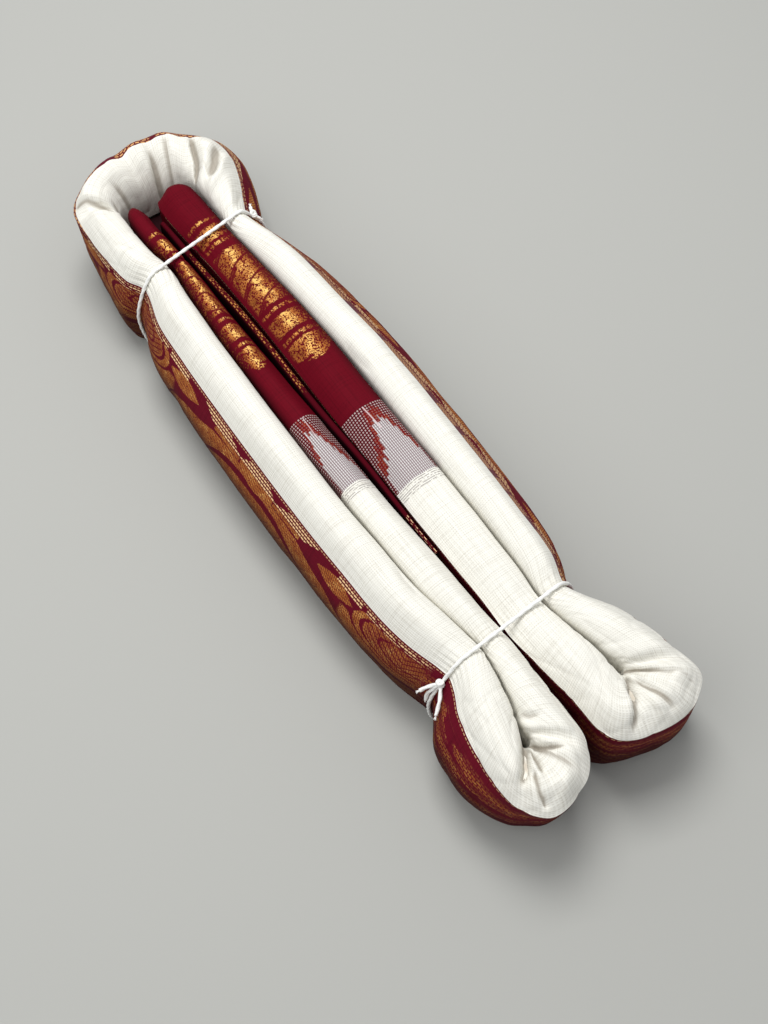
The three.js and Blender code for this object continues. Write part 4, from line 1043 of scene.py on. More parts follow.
        along_leaf = g.math("DIVIDE", g.add(far, -45.0), 25.0, clamp=True)
        leaf_half = g.mul(g.math("SINE", g.mul(along_leaf, math.pi)), 3.5)
        leaf = g.step(g.sub(leaf_half, g.math("ABSOLUTE", g.add(down, -6.9))), -0.05, 0.3)
        bud_side = g.add(g.mul(far, 1 / 12.5), g.math("MAXIMUM", g.mul(g.add(down, -7.6), 0.22), 0.0))
        bud = g.both(g.step(bud_side, 1.0, 0.95), g.step(down, 5.3, 5.6), g.step(down, 11.2, 10.8))
        low_leaf = g.both(g.within(far, 13.0, 32.0, 0.3), g.within(down, 5.6, 7.3, 0.15))

        ring = g.math("SQRT", g.add(
            g.math("POWER", g.mul(g.sub(100.0, far), 1 / 29.0), 2.0),
            g.math("POWER", g.mul(g.add(down, -8.0), 1 / 9.2), 2.0),
        ))
        inside = g.step(ring, 1.0, 0.985)
        arcs = g.most(g.within(ring, 0.77, 0.85, 0.012), g.within(ring, 0.42, 0.48, 0.02))
        hairs = g.math("FRACT", g.add(g.mul(far, 0.24), g.mul(down, -0.42)))
        core = g.step(ring, 0.76, 0.7)
        hatched = g.less(g.both(g.within(hairs, 0.0, 0.24, 0.05), core))
        paisley = g.both(inside, g.less(arcs), hatched, g.less(g.mul(core, 0.3)))
        gap = g.within(ring, 1.0, 1.07, 0.015)
        open_wave = g.both(wave, g.less(inside), g.less(gap))
        gilt = g.most(open_wave, leaf, bud, low_leaf, g.both(paisley, g.step(down, 3.4, 3.8)))

        rows = g.dashes(self.rows, along, g.add(below, -0.1), (1.36, 2.0), (0.46, 0.8), 0.4)
        lean = g.mul(below, 3.0)
        groups = g.most(
            g.step(g.sub(g.add(4.0, g.mul(below, 1.8)), far), -0.3, 0.3),
            g.both(
                g.step(g.add(far, lean), 28.0, 28.8),
                g.step(g.add(far, g.mul(below, 2.4)), 47.8, 47.0),
            ),
            g.both(g.within(far, 57.0, 73.0, 0.3), g.step(below, 4.4, 4.0)),
            g.both(
                g.step(far, 75.5, 76.5), g.step(below, 3.6, 3.3),
                g.within(g.math("FRACT", g.mul(g.add(along, lean), 1 / 11.0)), 0.05, 0.85, 0.02),
            ),
        )
        cream = g.both(rows, groups, g.within(below, 0.6, 5.7, 0.1))
        ribs = g.math("SINE", g.mul(g.add(along, g.mul(below, 0.3)), math.tau / 1.08))
        rows_too = g.math("SINE", g.mul(g.add(below, g.mul(far, 0.12)), math.tau / 1.3))
        g.feed(out.inputs["Gilt"], gilt)
        g.feed(out.inputs["Cream"], cream)
        g.feed(out.inputs["Ribs"], g.add(ribs, g.mul(rows_too, 0.7)))
        return g.tree


@dataclass(frozen=True)
class Finish:
    """A woven finish; each kind colours its own part of the cloth."""

    groups: Groups
    slot: str = "finish"
    bump: float = 0.25
    bump_reach: float = 0.0004
    roughness: float = 0.88
    sheen: float = 0.1
    specular: float = 0.12

    def place(self, g: Graph) -> dict[str, Socket]:
        """Pattern coordinates of the cloth in millimetres."""
        lay = g.node("ShaderNodeAttribute", attribute_name="lay")
        parts = g.node("ShaderNodeSeparateXYZ", {0: lay.outputs["Vector"]})
        names = ("along", "across", "pattern")
        placed = {n: g.mul(parts.outputs[i], 1000.0) for i, n in enumerate(names)}
        for name in ("share", "hollow"):
            placed[name] = g.node("ShaderNodeAttribute", attribute_name=name).outputs["Fac"]
        return placed

    def build(self) -> bpy.types.Material:
        """Makes the material."""
        made = bpy.data.materials.new(f"woven_{self.slot}")
        made["slot"] = self.slot
        made.use_nodes = True
        made.node_tree.nodes.clear()
        g = Graph(made.node_tree)
        shader = g.node(
            "ShaderNodeBsdfPrincipled",
            {"Sheen Weight": self.sheen, "Sheen Roughness": 0.5, "Specular IOR Level": self.specular},
        )
        look = self.paint(g, self.place(g))
        g.feed(shader.inputs["Base Color"], look["colour"])
        g.feed(shader.inputs["Roughness"], look.get("roughness", self.roughness))
        g.feed(shader.inputs["Metallic"], look.get("metallic", 0.0))
        inputs = {"Strength": self.bump, "Distance": self.bump_reach, "Height": look["height"]}
        g.feed(shader.inputs["Normal"], g.node("ShaderNodeBump", inputs).outputs[0])
        g.node("ShaderNodeOutputMaterial", {"Surface": shader.outputs[0]})
        return made

    def paint(self, g: Graph, at: dict[str, Socket]) -> dict[str, Value]:
        """Colour, height and the rest of the finish, from the pattern coordinates."""
        raise NotImplementedError


@dataclass(frozen=True)
class CottonFinish(Finish):
    """White handloom cotton, with thin grey lines after the end piece, and painted shade in its creases."""

    slot: str = "body_cotton"
    sheen: float = 0.08
    white: tuple = colour(240, 238, 229)
    shade: tuple = colour(186, 180, 166)
    # Painted shade for the bottoms of the creases, not a colour of the cloth.
    crease: tuple = colour(118, 104, 86)
    border: tuple = colour(92, 16, 32)

    def paint(self, g: Graph, at: dict[str, Socket]) -> dict[str, Value]:
        """White threads with faint uneven lines both ways, and painted shade in the bottoms of the creases.
        """
        shade, height = g.woven(self.groups.weave, at["along"], at["across"], (0.95, 1.02), 0.26)
        tone = g.mix(shade, self.white, self.shade)
        lines = g.both(
            g.within(at["pattern"], 35.9, 40.9, 0.1),
            g.within(g.math("FRACT", at["pattern"]), 0.25, 0.62, 0.1),
            g.step(g.noise(g.vector(g.mul(at["across"], 0.9), at["pattern"]), 1.0, 1), 0.4, 0.46),
        )
        tone = g.mix(g.mul(lines, 0.72), tone, colour(112, 102, 102))
        # Painted shade: the cotton darkens towards this colour where a point lies deep in a crease.
        tone = g.mix(g.mul(g.step(at["hollow"], 0.1, 1.0), 0.66), tone, self.crease)
        reach = g.sub(NO_BANDS, at["pattern"])
        rolled = g.step(g.sub(reach, at["across"]), 0.05, 0.25)
        rolled = g.both(rolled, g.step(at["pattern"], NO_BANDS - 40.0, NO_BANDS - 30.0))
        dashes = g.dashes(self.groups.rows, at["along"], at["across"], (1.4, 2.2), (0.46, 0.72), 0.4)
        patch = g.step(g.noise(g.vector(g.mul(at["along"], 0.07), 4.0), 1.0, 1), 0.44, 0.48)
        woven = g.mix(g.both(dashes, patch, 0.9), self.border, colour(226, 174, 112))
        tone = g.mix(rolled, tone, woven)
        return {"colour": tone, "height": height}


@dataclass(frozen=True)
class BorderFinish(Finish):
    """Maroon border with gilt leaves, cream dashes and, on the turns, gilt bricks and lines."""

    slot: str = "border_zari"
    roughness: float = 0.75
    sheen: float = 0.0
    specular: float = 0.06
    ground: tuple = colour(102, 16, 34)
    ground_dark: tuple = colour(62, 6, 18)
    cream: tuple = colour(240, 202, 150)

    def paint(self, g: Graph, at: dict[str, Socket]) -> dict[str, Value]:
        """Leaves and dashes on the arms, bricks and lines on the turns, and painted shade towards the wall's
        foot.
        """
        below = g.mul(at["across"], -1.0)
        leaves = g.group(self.groups.leaves, {"Along": at["along"], "Below": below})
        zari = g.group(
            self.groups.zari, {"Along": at["along"], "Across": below, "Speckle": 0.4, "Bright": 0.46}
        )
        bricks = g.dashes(self.groups.rows, at["along"], below, (1.25, 2.4), (0.66, 0.8), 0.41)
        patch = g.noise(g.vector(g.mul(at["along"], 0.05), g.mul(below, 0.24)), 1.0, 2)
        bricks = g.both(bricks, g.step(patch, 0.42, 0.47), g.step(below, 4.6, 5.2))
        fine = g.dashes(self.groups.rows, at["along"], g.add(below, -0.4), (1.1, 1.7), (0.42, 0.66), 0.43)
        fine = g.both(fine, g.within(below, 0.35, 1.5, 0.1), 0.55)
        brick_share = g.step(at["pattern"], 0.3, 0.7)
        leaf_share = g.less(brick_share)
        ribs = g.step(leaves.outputs["Ribs"], -0.9, 0.7)
        leaf = g.both(leaves.outputs["Gilt"], zari.outputs["Cover"], g.add(0.25, g.mul(ribs, 0.75)))
        # The bricks' gilt comes and goes in long flowing bands, as woven; kept to at most 0.7 strong, it is
        # also painted shade that dims the turns' walls.
        drift = g.mul(g.noise(g.vector(g.mul(at["along"], 0.03), 2.0), 1.0, 1), 9.0)
        flow = g.math("SINE", g.mul(g.add(below, drift), 1.05))
        bricks = g.both(bricks, g.add(0.2, g.mul(g.step(flow, -0.5, 0.3), 0.5)))
        gilt = g.add(g.mul(leaf, leaf_share), g.both(bricks, brick_share, zari.outputs["Cover"]))
        cream = g.add(g.mul(leaves.outputs["Cream"], leaf_share), g.mul(fine, brick_share))
        shade, threads = g.woven(self.groups.weave, at["along"], below, (0.6, 0.6), 0.3)
        ground = g.mix(shade, self.ground, self.ground_dark)
        tone = g.mix(gilt, ground, zari.outputs["Thread Colour"])
        tone = g.mix(cream, tone, self.cream)
        height = g.add(g.mul(threads, 0.6), g.mul(g.add(gilt, cream), 0.5))
        # Painted shade: the wall darkens to near black towards its foot, where shadow falls by the floor.
        foot = g.mul(g.step(below, 8.0, 28.0), 0.8)
        tone = g.mix(foot, tone, colour(40, 8, 12))
        return {"colour": tone, "height": height, "metallic": g.mul(gilt, 0.3)}


@dataclass(frozen=True)
class PalluFinish(Finish):
    """Crimson end piece with bands of gilt brocade and columns of gilt dashes."""

    slot: str = "pallu_zari"
    roughness: float = 0.7
    sheen: float = 0.0
    specular: float = 0.05
    ground: tuple = colour(102, 8, 25)
    ground_dark: tuple = colour(62, 3, 13)
    gilt_bands: tuple = ((-120.6, -113.0), (-62.6, -53.6))
    brocade: tuple = (-105.6, -69.6)
    end_band: tuple = (-47.6, -34.6)
    dash_columns: tuple = ((-125.6, -123.2), (-111.8, -109.4), (-67.4, -65.2), (-51.3, -48.9))

    def gilt(self, g: Graph, at: dict[str, Socket]) -> Socket:
        """Where the gilt thread shows."""
        noise = g.noise(g.vector(at["pattern"], at["across"], 3.0), 0.9, 2)
        place = g.add(at["pattern"], g.mul(g.add(noise, -0.5), 1.9))
        bands = g.most(*(g.within(place, low, high, 0.3) for low, high in self.gilt_bands))
        middle = g.add(at["share"], -0.52)
        rounded = g.add(place, g.mul(g.mul(middle, middle), 30.0))
        slot = g.within(g.add(rounded, g.mul(at["share"], 10.0)), -33.4, -32.0, 0.2)
        end = g.both(
            g.step(place, self.end_band[0] - 0.3, self.end_band[0] + 0.3),
            g.step(rounded, self.end_band[1] + 0.3, self.end_band[1] - 0.3),
            g.less(g.both(slot, g.step(at["share"], 0.5, 0.4))),
        )
        bent = g.mul(g.math("POWER", at["share"], 2.0), -3.0)
        lean = g.add(g.add(at["pattern"], g.mul(at["across"], 0.62)), bent)
        slash = g.math("FRACT", g.math("DIVIDE", lean, 11.6))
        slashes = g.within(slash, 0.1, 0.2, 0.025)
        steps = g.both(g.step(at["share"], 0.42, 0.36), g.within(slash, 0.2, 0.34, 0.03))
        panel = g.both(
            g.within(place, *self.brocade, 0.3), g.less(g.mul(g.most(slashes, steps), 0.95))
        )
        dashes = g.dashes(self.groups.rows, at["across"], at["pattern"], (400.0, 3.9), (1.1, 0.8), 0.0)
        columns = g.most(*(g.within(place, low + 0.3, high - 0.3, 0.2) for low, high in self.dash_columns))
        return g.most(bands, end, panel, g.mul(dashes, columns))

    def paint(self, g: Graph, at: dict[str, Socket]) -> dict[str, Value]:
        """Gilt over a crimson ground, fading out at the outer edge, with a painted highlight along the crest
        and painted shade towards the crease edge.
        """
        edge = g.step(at["share"], 0.05, 0.14)
        # Painted highlight: the gilt is brighter along the middle of the top, where the crest meets the
        # light.
        middle = g.within(at["share"], 0.36, 0.66, 0.12)
        # Painted shade: towards the crease edge the gilt turns sparser and duller.
        crease_side_shade = g.step(at["share"], 0.68, 0.9)
        zari = g.group(
            self.groups.zari,
            {
                "Along": at["pattern"],
                "Across": at["across"],
                "Speckle": g.add(0.55, g.mul(crease_side_shade, 0.12)),
                "Bright": g.add(g.add(0.32, g.mul(middle, 0.34)), g.mul(crease_side_shade, -0.25)),
            },
        )
        gilt = g.both(self.gilt(g, at), zari.outputs["Cover"], edge)
        shade, threads = g.woven(self.groups.weave, at["pattern"], at["across"], (0.5, 0.5), 0.25)
        # Painted shade: the ground darkens towards the crease edge.
        shade = g.most(shade, g.mul(g.step(at["share"], 0.7, 1.0), 0.8))
        ground = g.mix(shade, self.ground, self.ground_dark)
        tone = g.mix(gilt, ground, zari.outputs["Thread Colour"])
        height = g.add(g.mul(threads, 0.5), g.mul(gilt, 0.4))
        return {"colour": tone, "height": height, "metallic": g.mul(gilt, 0.35)}


@dataclass(frozen=True)
class FoldFinish(Finish):
    """The middle fold: dark crimson with a few gilt specks along its crest."""

    slot: str = "pallu_zari"
    sheen: float = 0.0
    specular: float = 0.05
    ground: tuple = colour(74, 5, 18)
    # Colour of the painted shade down the fold's sides, in the gap.
    ground_dark: tuple = colour(34, 2, 9)
    thread: tuple = colour(190, 134, 70)
    run: tuple = (-116.0, -27.0)
    row_fill: float = 0.6
    dash_pitch: float = 2.3

    def paint(self, g: Graph, at: dict[str, Socket]) -> dict[str, Value]:
        """Specks of gilt on the crest, over its middle stretch only, and painted shade down the sides."""
        # Painted shade: the sides, down in the gap between the arms, are darker than the crest.
        tone = g.mix(g.step(at["share"], 0.5, 0.05), self.ground, self.ground_dark)
        pitch, fill = (1.0, self.dash_pitch), (self.row_fill, 0.6)
        specks = g.dashes(self.groups.rows, at["along"], at["across"], pitch, fill, 0.37)
        patch = g.step(g.noise(g.vector(g.mul(at["along"], 0.28), at["across"]), 1.0, 2), 0.42, 0.52)
        run = g.within(at["along"], *self.run, 2.0)
        gilt = g.both(specks, patch, run, g.step(at["share"], 0.25, 0.6))
        tone = g.mix(gilt, tone, self.thread)
        return {"colour": tone, "height": specks, "metallic": g.mul(gilt, 0.3)}


@dataclass(frozen=True)
class JoinFinish(Finish):
    """Where crimson gives way to white: rows of dashes, then stepped grey and white lines."""

    slot: str = "join_weave"
    specular: float = 0.08
    sheen: float = 0.0
    ground: tuple = colour(84, 7, 20)
    bright: tuple = colour(112, 14, 14)
    speck: tuple = colour(150, 62, 30)
    row_pitch: float = 1.28
    # Share of the width from which each tooth runs, and how far past the crimson it starts.
    steps: tuple = (
        (0.0, 60.0), (0.06, 37.0), (0.12, 33.5), (0.19, 29.0), (0.27, 24.0), (0.34, 19.0), (0.41, 14.5),
        (0.48, 12.5), (0.64, 14.5), (0.7, 11.5), (0.76, 17.5), (0.82, 23.5), (0.88, 30.0), (0.93, 60.0),
    )

    def paint(self, g: Graph, at: dict[str, Socket]) -> dict[str, Value]:
        """Dashes on crimson, and teeth of white that start at a step of their own."""
        t = g.add(at["pattern"], 4.0)
        ramp = g.node("ShaderNodeValToRGB", {"Fac": at["share"]})
        ramp.color_ramp.interpolation = "CONSTANT"
        stops = ramp.color_ramp.elements
        while len(stops) < len(self.steps):
            stops.new(0.5)
        for stop, (share, start) in zip(stops, self.steps):
            stop.position = share
            stop.color = (*[start / 100] * 3, 1)
        start = g.mul(ramp.outputs["Color"], 100.0)
        warp = g.math("FLOOR", g.mul(at["across"], 1 / 1.7))
        jag = g.mul(g.math("FRACT", g.mul(g.math("SINE", g.mul(warp, 12.9898)), 43.7)), 6.4)
        white = g.step(g.sub(g.add(t, jag), start), -0.15, 0.15)
        dashes = g.dashes(self.groups.rows, at["across"], t, (self.row_pitch, 1.35), (0.54, 0.5), 0.12)
        bent = g.add(at["share"], g.mul(t, -0.003))
        stripe = g.both(g.within(bent, 0.486, 0.512, 0.008), g.within(t, 0.5, 13.0))
        lines = g.math("SINE", g.mul(at["across"], math.tau / 0.98))
        cross = g.math("SINE", g.mul(t, math.tau / self.row_pitch))
        pale = g.mix(g.step(lines, -0.6, 0.5), colour(126, 112, 113), colour(210, 206, 204))
        pale = g.mix(g.mul(g.step(cross, 0.1, 0.9), 0.55), pale, colour(138, 116, 120))
        teeth = g.step(g.sub(g.add(g.add(t, jag), 7.0), start), -0.15, 0.15)
        mottled = g.step(g.noise(g.vector(at["across"], t, 2.0), 1.1, 1), 0.5, 0.62)
        tooth = g.mix(g.mul(mottled, 0.7), self.bright, self.speck)
        ground = g.mix(g.mul(teeth, 0.85), self.ground, tooth)
        dashes = g.both(dashes, g.less(g.mul(teeth, 0.8)))
        red = g.mix(g.mul(dashes, 0.85), ground, colour(190, 174, 170))
        tone = g.mix(white, red, pale)
        tone = g.mix(g.mul(stripe, 0.9), tone, colour(206, 184, 184))
        height = g.add(g.mul(dashes, 0.4), g.mul(lines, 0.15))
        return {"colour": tone, "height": height}


@dataclass(frozen=True)
class LayersFinish(Finish):
    """Edges of the folded layers underneath: white cotton, its border showing on some."""

    slot: str = "inner_layers"
    underside: float = 8.5  # how far round a ring the wall and the top reach

    def paint(self, g: Graph, at: dict[str, Socket]) -> dict[str, Value]:
        """Fine lengthwise lines of white, now and then maroon underneath; the bed between the arms is
        painted near black as shade.
        """
        lines = g.noise(g.vector(g.mul(at["along"], 0.01), g.mul(at["across"], 0.8)), 1.0, 2)
        tone = g.mix(g.step(lines, 0.35, 0.6), colour(214, 205, 190), colour(240, 236, 226))
        edges = g.noise(g.vector(g.mul(at["along"], 0.004), g.mul(at["across"], 0.35), 5.0), 1.0, 1)
        under = g.step(at["across"], self.underside, self.underside + 0.5)
        maroon = g.both(g.step(edges, 0.6, 0.64), under, 0.9)
        tone = g.mix(maroon, tone, colour(88, 20, 34))
        # Painted shade: the bed, whose third pattern coordinate is 1, is painted near black, for the shadow
        # deep in the gap.
        tone = g.mix(g.step(at["pattern"], 0.4, 0.6), tone, colour(38, 6, 12))
        return {"colour": tone, "height": lines}


@dataclass(frozen=True)
class ThreadFinish(Finish):
    """White cotton tying thread."""

    slot: str = "tie_thread"
    roughness: float = 0.8

    def paint(self, g: Graph, at: dict[str, Socket]) -> dict[str, Value]:
        """White, with fine fibres along the plies."""
        fibres = g.noise(g.vector(g.mul(at["along"], 1.5), g.mul(at["across"], 3.0)), 2.0, 3)
        tone = g.mix(g.step(fibres, 0.3, 0.6), colour(226, 224, 218), colour(250, 250, 247))
        return {"colour": tone, "height": fibres}


class Mesher:
    """Makes mesh objects from points in millimetres, in the frame of the tables."""

    OUTER_MAP = (0.01, 0.72)  # how far the outer side of a sheet reaches across its map
    INNER_MAP = (0.76, 0.99)

    @staticmethod
    def make(
        name: str,
        points: np.ndarray,
        faces: list[list[int]],
        marks: dict[str, np.ndarray],
        uv: np.ndarray,
        material: bpy.types.Material,
    ) -> bpy.types.Object:
        """Makes one object.

        Args:
            name: Its name.
            points: Vertices in millimetres, in the frame of the tables.
            faces: Vertex numbers of each face.
            marks: What the finish reads at the vertices, by name: vectors or single values.
            uv: Map coordinates of the vertices.
            material: Its material.

        Returns:
            The object.
        """
        moved = points.copy()
        moved[:, :2] -= CENTRE
        mesh = bpy.data.meshes.new(name)
        mesh.from_pydata((moved * MM).tolist(), [], faces)
        mesh.polygons.foreach_set("use_smooth", np.ones(len(mesh.polygons), bool))
        for label, values in marks.items():
            kind, field = ("FLOAT_VECTOR", "vector") if values.ndim == 2 else ("FLOAT", "value")
            mark = mesh.attributes.new(label, kind, "POINT")
            mark.data.foreach_set(field, values.astype(np.float32).ravel())
        corners = np.empty(len(mesh.loops), np.int32)
        mesh.loops.foreach_get("vertex_index", corners)
        layer = mesh.uv_layers.new(name="UVMap")
        layer.data.foreach_set("uv", uv[corners].astype(np.float32).ravel())
        mesh.materials.append(material)
        mesh.validate()
        made = bpy.data.objects.new(name, mesh)
        bpy.context.scene.collection.objects.link(made)
        return made

    @staticmethod
    def sharpen(mesh: bpy.types.Mesh, cut: np.ndarray) -> None:
        """Marks the edges between vertices of a cut edge as sharp."""
        ends = np.empty(len(mesh.edges) * 2, np.int32)
        mesh.edges.foreach_get("vertices", ends)
        mesh.edges.foreach_set("use_edge_sharp", cut[ends.reshape(-1, 2)].all(1))

    @classmethod
    def shell(
        cls, name: str, sheet: Sheet, thickness: float, material: bpy.types.Material
    ) -> bpy.types.Object:
        """A thin closed shell under a grid of points.

        Args:
            name: Its name.
            sheet: The grid on its outer side.
            thickness: Thickness of the cloth in millimetres.
            material: Its material.

        Returns:
            The object.
        """
        rows, columns = sheet.points.shape[:2]
        count = rows * columns
        inner = sheet.points - sheet.normals * thickness
        points = np.concatenate([sheet.points.reshape(-1, 3), inner.reshape(-1, 3)])
        number = np.arange(count).reshape(rows, columns)
        quads = np.stack(
            [number[:-1, :-1], number[:-1, 1:], number[1:, 1:], number[1:, :-1]], -1
        ).reshape(-1, 4)
        rim = np.concatenate([number[0, :-1], number[:-1, -1], number[-1, :0:-1], number[:0:-1, 0]])
        after = np.roll(rim, -1)
        sides = np.stack([after, rim, rim + count, after + count], -1)
        faces = np.concatenate([quads, quads[:, ::-1] + count, sides])
        lay = np.stack([sheet.along, sheet.across, sheet.pattern], -1).reshape(-1, 3)
        marks = {"lay": lay * MM, "share": sheet.share.ravel(), "hollow": sheet.hollow.ravel()}
        u = np.linspace(0.01, 0.99, rows)[:, None] * np.ones(columns)
        maps = [
            np.stack([u, np.ones(rows)[:, None] * np.linspace(*reach, columns)], -1).reshape(-1, 2)
            for reach in (cls.OUTER_MAP, cls.INNER_MAP)
        ]
        both = {label: np.concatenate([values, values]) for label, values in marks.items()}
        made = cls.make(name, points, faces.tolist(), both, np.concatenate(maps), material)
        cut = np.zeros(2 * count, bool)
        cut[rim] = cut[rim + count] = True
        cls.sharpen(made.data, cut)
        return made

    @classmethod
    def tube(
        cls, name: str, rings: np.ndarray, material: bpy.types.Material, closed: bool = False
    ) -> bpy.types.Object:
        """A closed solid swept through rings of points.

        Args:
            name: Its name.
            rings: Points, ring by ring.
            material: Its material.
            closed: Whether the last ring joins the first.

        Returns:
            The object.
        """
        count, sides = rings.shape[:2]
        number = np.arange(count * sides).reshape(count, sides)
        ahead = np.roll(number, -1, 0) if closed else number[1:]
        here = number if closed else number[:-1]
        quads = np.stack([here, ahead, np.roll(ahead, -1, 1), np.roll(here, -1, 1)], -1)
        points = rings.reshape(-1, 3)
        faces = quads.reshape(-1, 4).tolist()
        steps = np.linalg.norm(np.diff(rings.mean(1), axis=0), axis=1)
        along = np.repeat(np.concatenate([[0], np.cumsum(steps)])[:, None], sides, 1)
        around = np.repeat(np.arange(sides)[None] * 0.5, count, 0)
        lay = np.stack([along, around, np.zeros_like(along)], -1).reshape(-1, 3)
        if not closed:
            points = np.concatenate([points, rings[[0, -1]].mean(1)])
            lay = np.concatenate([lay, lay[[0, -1]]])
            first, last = count * sides, count * sides + 1
            end = (count - 1) * sides
            for k, after in zip(number[0].tolist(), np.roll(number[0], -1).tolist()):
                faces.append([first, k, after])
                faces.append([last, end + after, end + k])
        uv = np.zeros((len(points), 2))
        uv[: count * sides, 0] = (along / max(1.0, along.max())).ravel()
        uv[: count * sides, 1] = np.repeat(np.linspace(0, 1, sides)[None], count, 0).ravel()
        return cls.make(name, points, faces, {"lay": lay * MM}, uv, material)


@dataclass
class Cloth:
    """All the cloth that shows, as thin panels over the strip."""

    strip: Strip
    cotton: bpy.types.Material
    border: bpy.types.Material
    pallu: bpy.types.Material
    join: bpy.types.Material
    thickness: float = 0.7

    def build(self) -> None:
        """Makes every panel, hangs it on the root and hides its CAD node."""
        relief = Relief(self.strip)
        whole = self.strip.surface(0.0, relief)
        arms = self.strip.surface(self.strip.ARM_HEM, relief)
        wall, top = slice(0, self.strip.WALL), slice(self.strip.WALL - 1, None)
        outside = (
            Stretch.HEAD, Stretch.LEFT_OUTER, Stretch.RIGHT_OUTER, Stretch.LEFT_TURN, Stretch.RIGHT_TURN
        )
        for stretch in outside:
            rows = self.strip.rows(self.strip.start(stretch), self.strip.end(stretch))
            self.panel(f"body_{stretch.value}", whole.part(rows, top), self.cotton)
            self.panel(f"border_{stretch.value}", whole.part(rows, wall), self.border)
        self.inner_arm(arms, Stretch.LEFT_INNER, 0.0, self.strip.end(Stretch.LEFT_INNER))
        self.inner_arm(arms, Stretch.RIGHT_INNER, self.strip.length, self.strip.start(Stretch.RIGHT_INNER))

    def inner_arm(self, arms: Sheet, stretch: Stretch, tip: float, turn: float) -> None:
        """Makes the panels of one inner arm, from its folded end to its turn."""
        side = stretch.value.split("_")[0]
        wall, top = slice(0, self.strip.WALL), slice(self.strip.WALL - 1, None)
        cuts = [tip, *(self.strip.distance_of_x(stretch, x) for x in BAND_CUTS[stretch]), turn]
        spans = [self.strip.rows(min(a, b), max(a, b)) for a, b in zip(cuts, cuts[1:])]
        self.panel(f"pallu_{side}_end", arms.part(spans[0], slice(None)), self.pallu)
        self.panel(f"pallu_{side}", arms.part(spans[1], top), self.pallu)
        self.panel(f"join_{side}", arms.part(spans[2], top), self.join)
        self.panel(f"body_{side}_inner", arms.part(spans[3], top), self.cotton)
        wall_rows = self.strip.rows(min(cuts[1], turn), max(cuts[1], turn))
        self.panel(f"border_{side}_inner", arms.part(wall_rows, wall), self.border)

    def panel(self, name: str, sheet: Sheet, material: bpy.types.Material) -> None:
        """Makes one panel for the CAD node of the same name."""
        make_panel(name, sheet, self.thickness, material)


def make_panel(name: str, sheet: Sheet, thickness: float, material: bpy.types.Material) -> None:
    """Makes a panel of cloth that stands for the CAD node of the same name.

    Args:
        name: Name of the node.
        sheet: The grid on its outer side.
        thickness: Thickness of the cloth in millimetres.
        material: Its material.
    """
    made = Mesher.shell(f"cloth_{name}", sheet, thickness, material)
    dress(made, name)
    LOG.info("%s: %d faces, flat %s m", name, len(made.data.polygons), sheet.flat_size())


def dress(piece: bpy.types.Object, node: str) -> None:
    """Makes a piece stand for a CAD node: hangs it on the root and hides the node."""
    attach(piece, "root")
    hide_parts(node)


@dataclass
class MiddleFold:
    """The thin fold that stands in the middle gap; sizes in millimetres."""

    crimson: bpy.types.Material
    border: bpy.types.Material
    rows: tuple = (
        (-139, -16.2, 1.3, 43.5),
        (-125, -15.8, 1.5, 44.5),
        (-110, -15.0, 1.5, 44.0),
        (-83, -14.3, 1.6, 46.0),
        (-45, -14.0, 1.6, 46.5),
        (0, -13.6, 1.5, 46.0),
        (40, -13.2, 1.1, 45.5),
        (66, -12.6, 0.8, 45.0),
    )
    split: float = 46.0
    foot: float = 20.0
    round_over: float = 2.2
    thickness: float = 0.5
    sides: int = 12

    def build(self) -> None:
        """Makes its crimson and its border stretch."""
        rows = np.array(self.rows)
        for name, low, high, material in (
            ("pallu_middle_fold", rows[0, 0], self.split, self.crimson),
            ("border_middle_fold", self.split, rows[-1, 0], self.border),
        ):
            make_panel(name, self.sheet(rows, low, high), self.thickness, material)

    def sheet(self, rows: np.ndarray, low: float, high: float) -> Sheet:
        """The fold's outer side between two places.

        Args:
            rows: Place, middle line, half thickness and height of the fold.
            low: Where it starts.
            high: Where it ends.

        Returns:
            The grid of its outer side.
        """
        x = np.linspace(low, high, max(8, int((high - low) / 1.0)))
        y, half, crest = (np.interp(x, rows[:, 0], rows[:, k])[:, None] for k in (1, 2, 3))
        y = y + 0.35 * np.sin(x / 13.0)[:, None]
        crest = crest + 0.4 * np.sin(x / 19.0 + 1.0)[:, None]
        angle = np.linspace(np.pi, 0, self.sides)[None]
        shoulder = crest - self.round_over
        side = self.foot + np.linspace(0, 1, 7)[None, :-1] * (shoulder - self.foot)
        out = np.concatenate(
            [np.repeat(-half, 6, 1), half * np.cos(angle), np.repeat(half, 6, 1)], 1
        )
        z = np.concatenate([side, shoulder + self.round_over * np.sin(angle), side[:, ::-1]], 1)
        points = np.stack([np.repeat(x[:, None], z.shape[1], 1), y + out, z], -1)
        run = run_across(points, z.shape[1] // 2)
        near_crest = np.concatenate([np.zeros((1, 6)), np.sin(angle) ** 3, np.zeros((1, 6))], 1)
        return Sheet(
            points[:, ::-1],
            -Strip.normals(points)[:, ::-1],
            np.repeat(x[:, None], z.shape[1], 1),
            -0.5 - np.abs(run[:, ::-1]),
            np.repeat(near_crest, len(x), 0),
            np.zeros_like(run),
            np.zeros_like(run),
        )


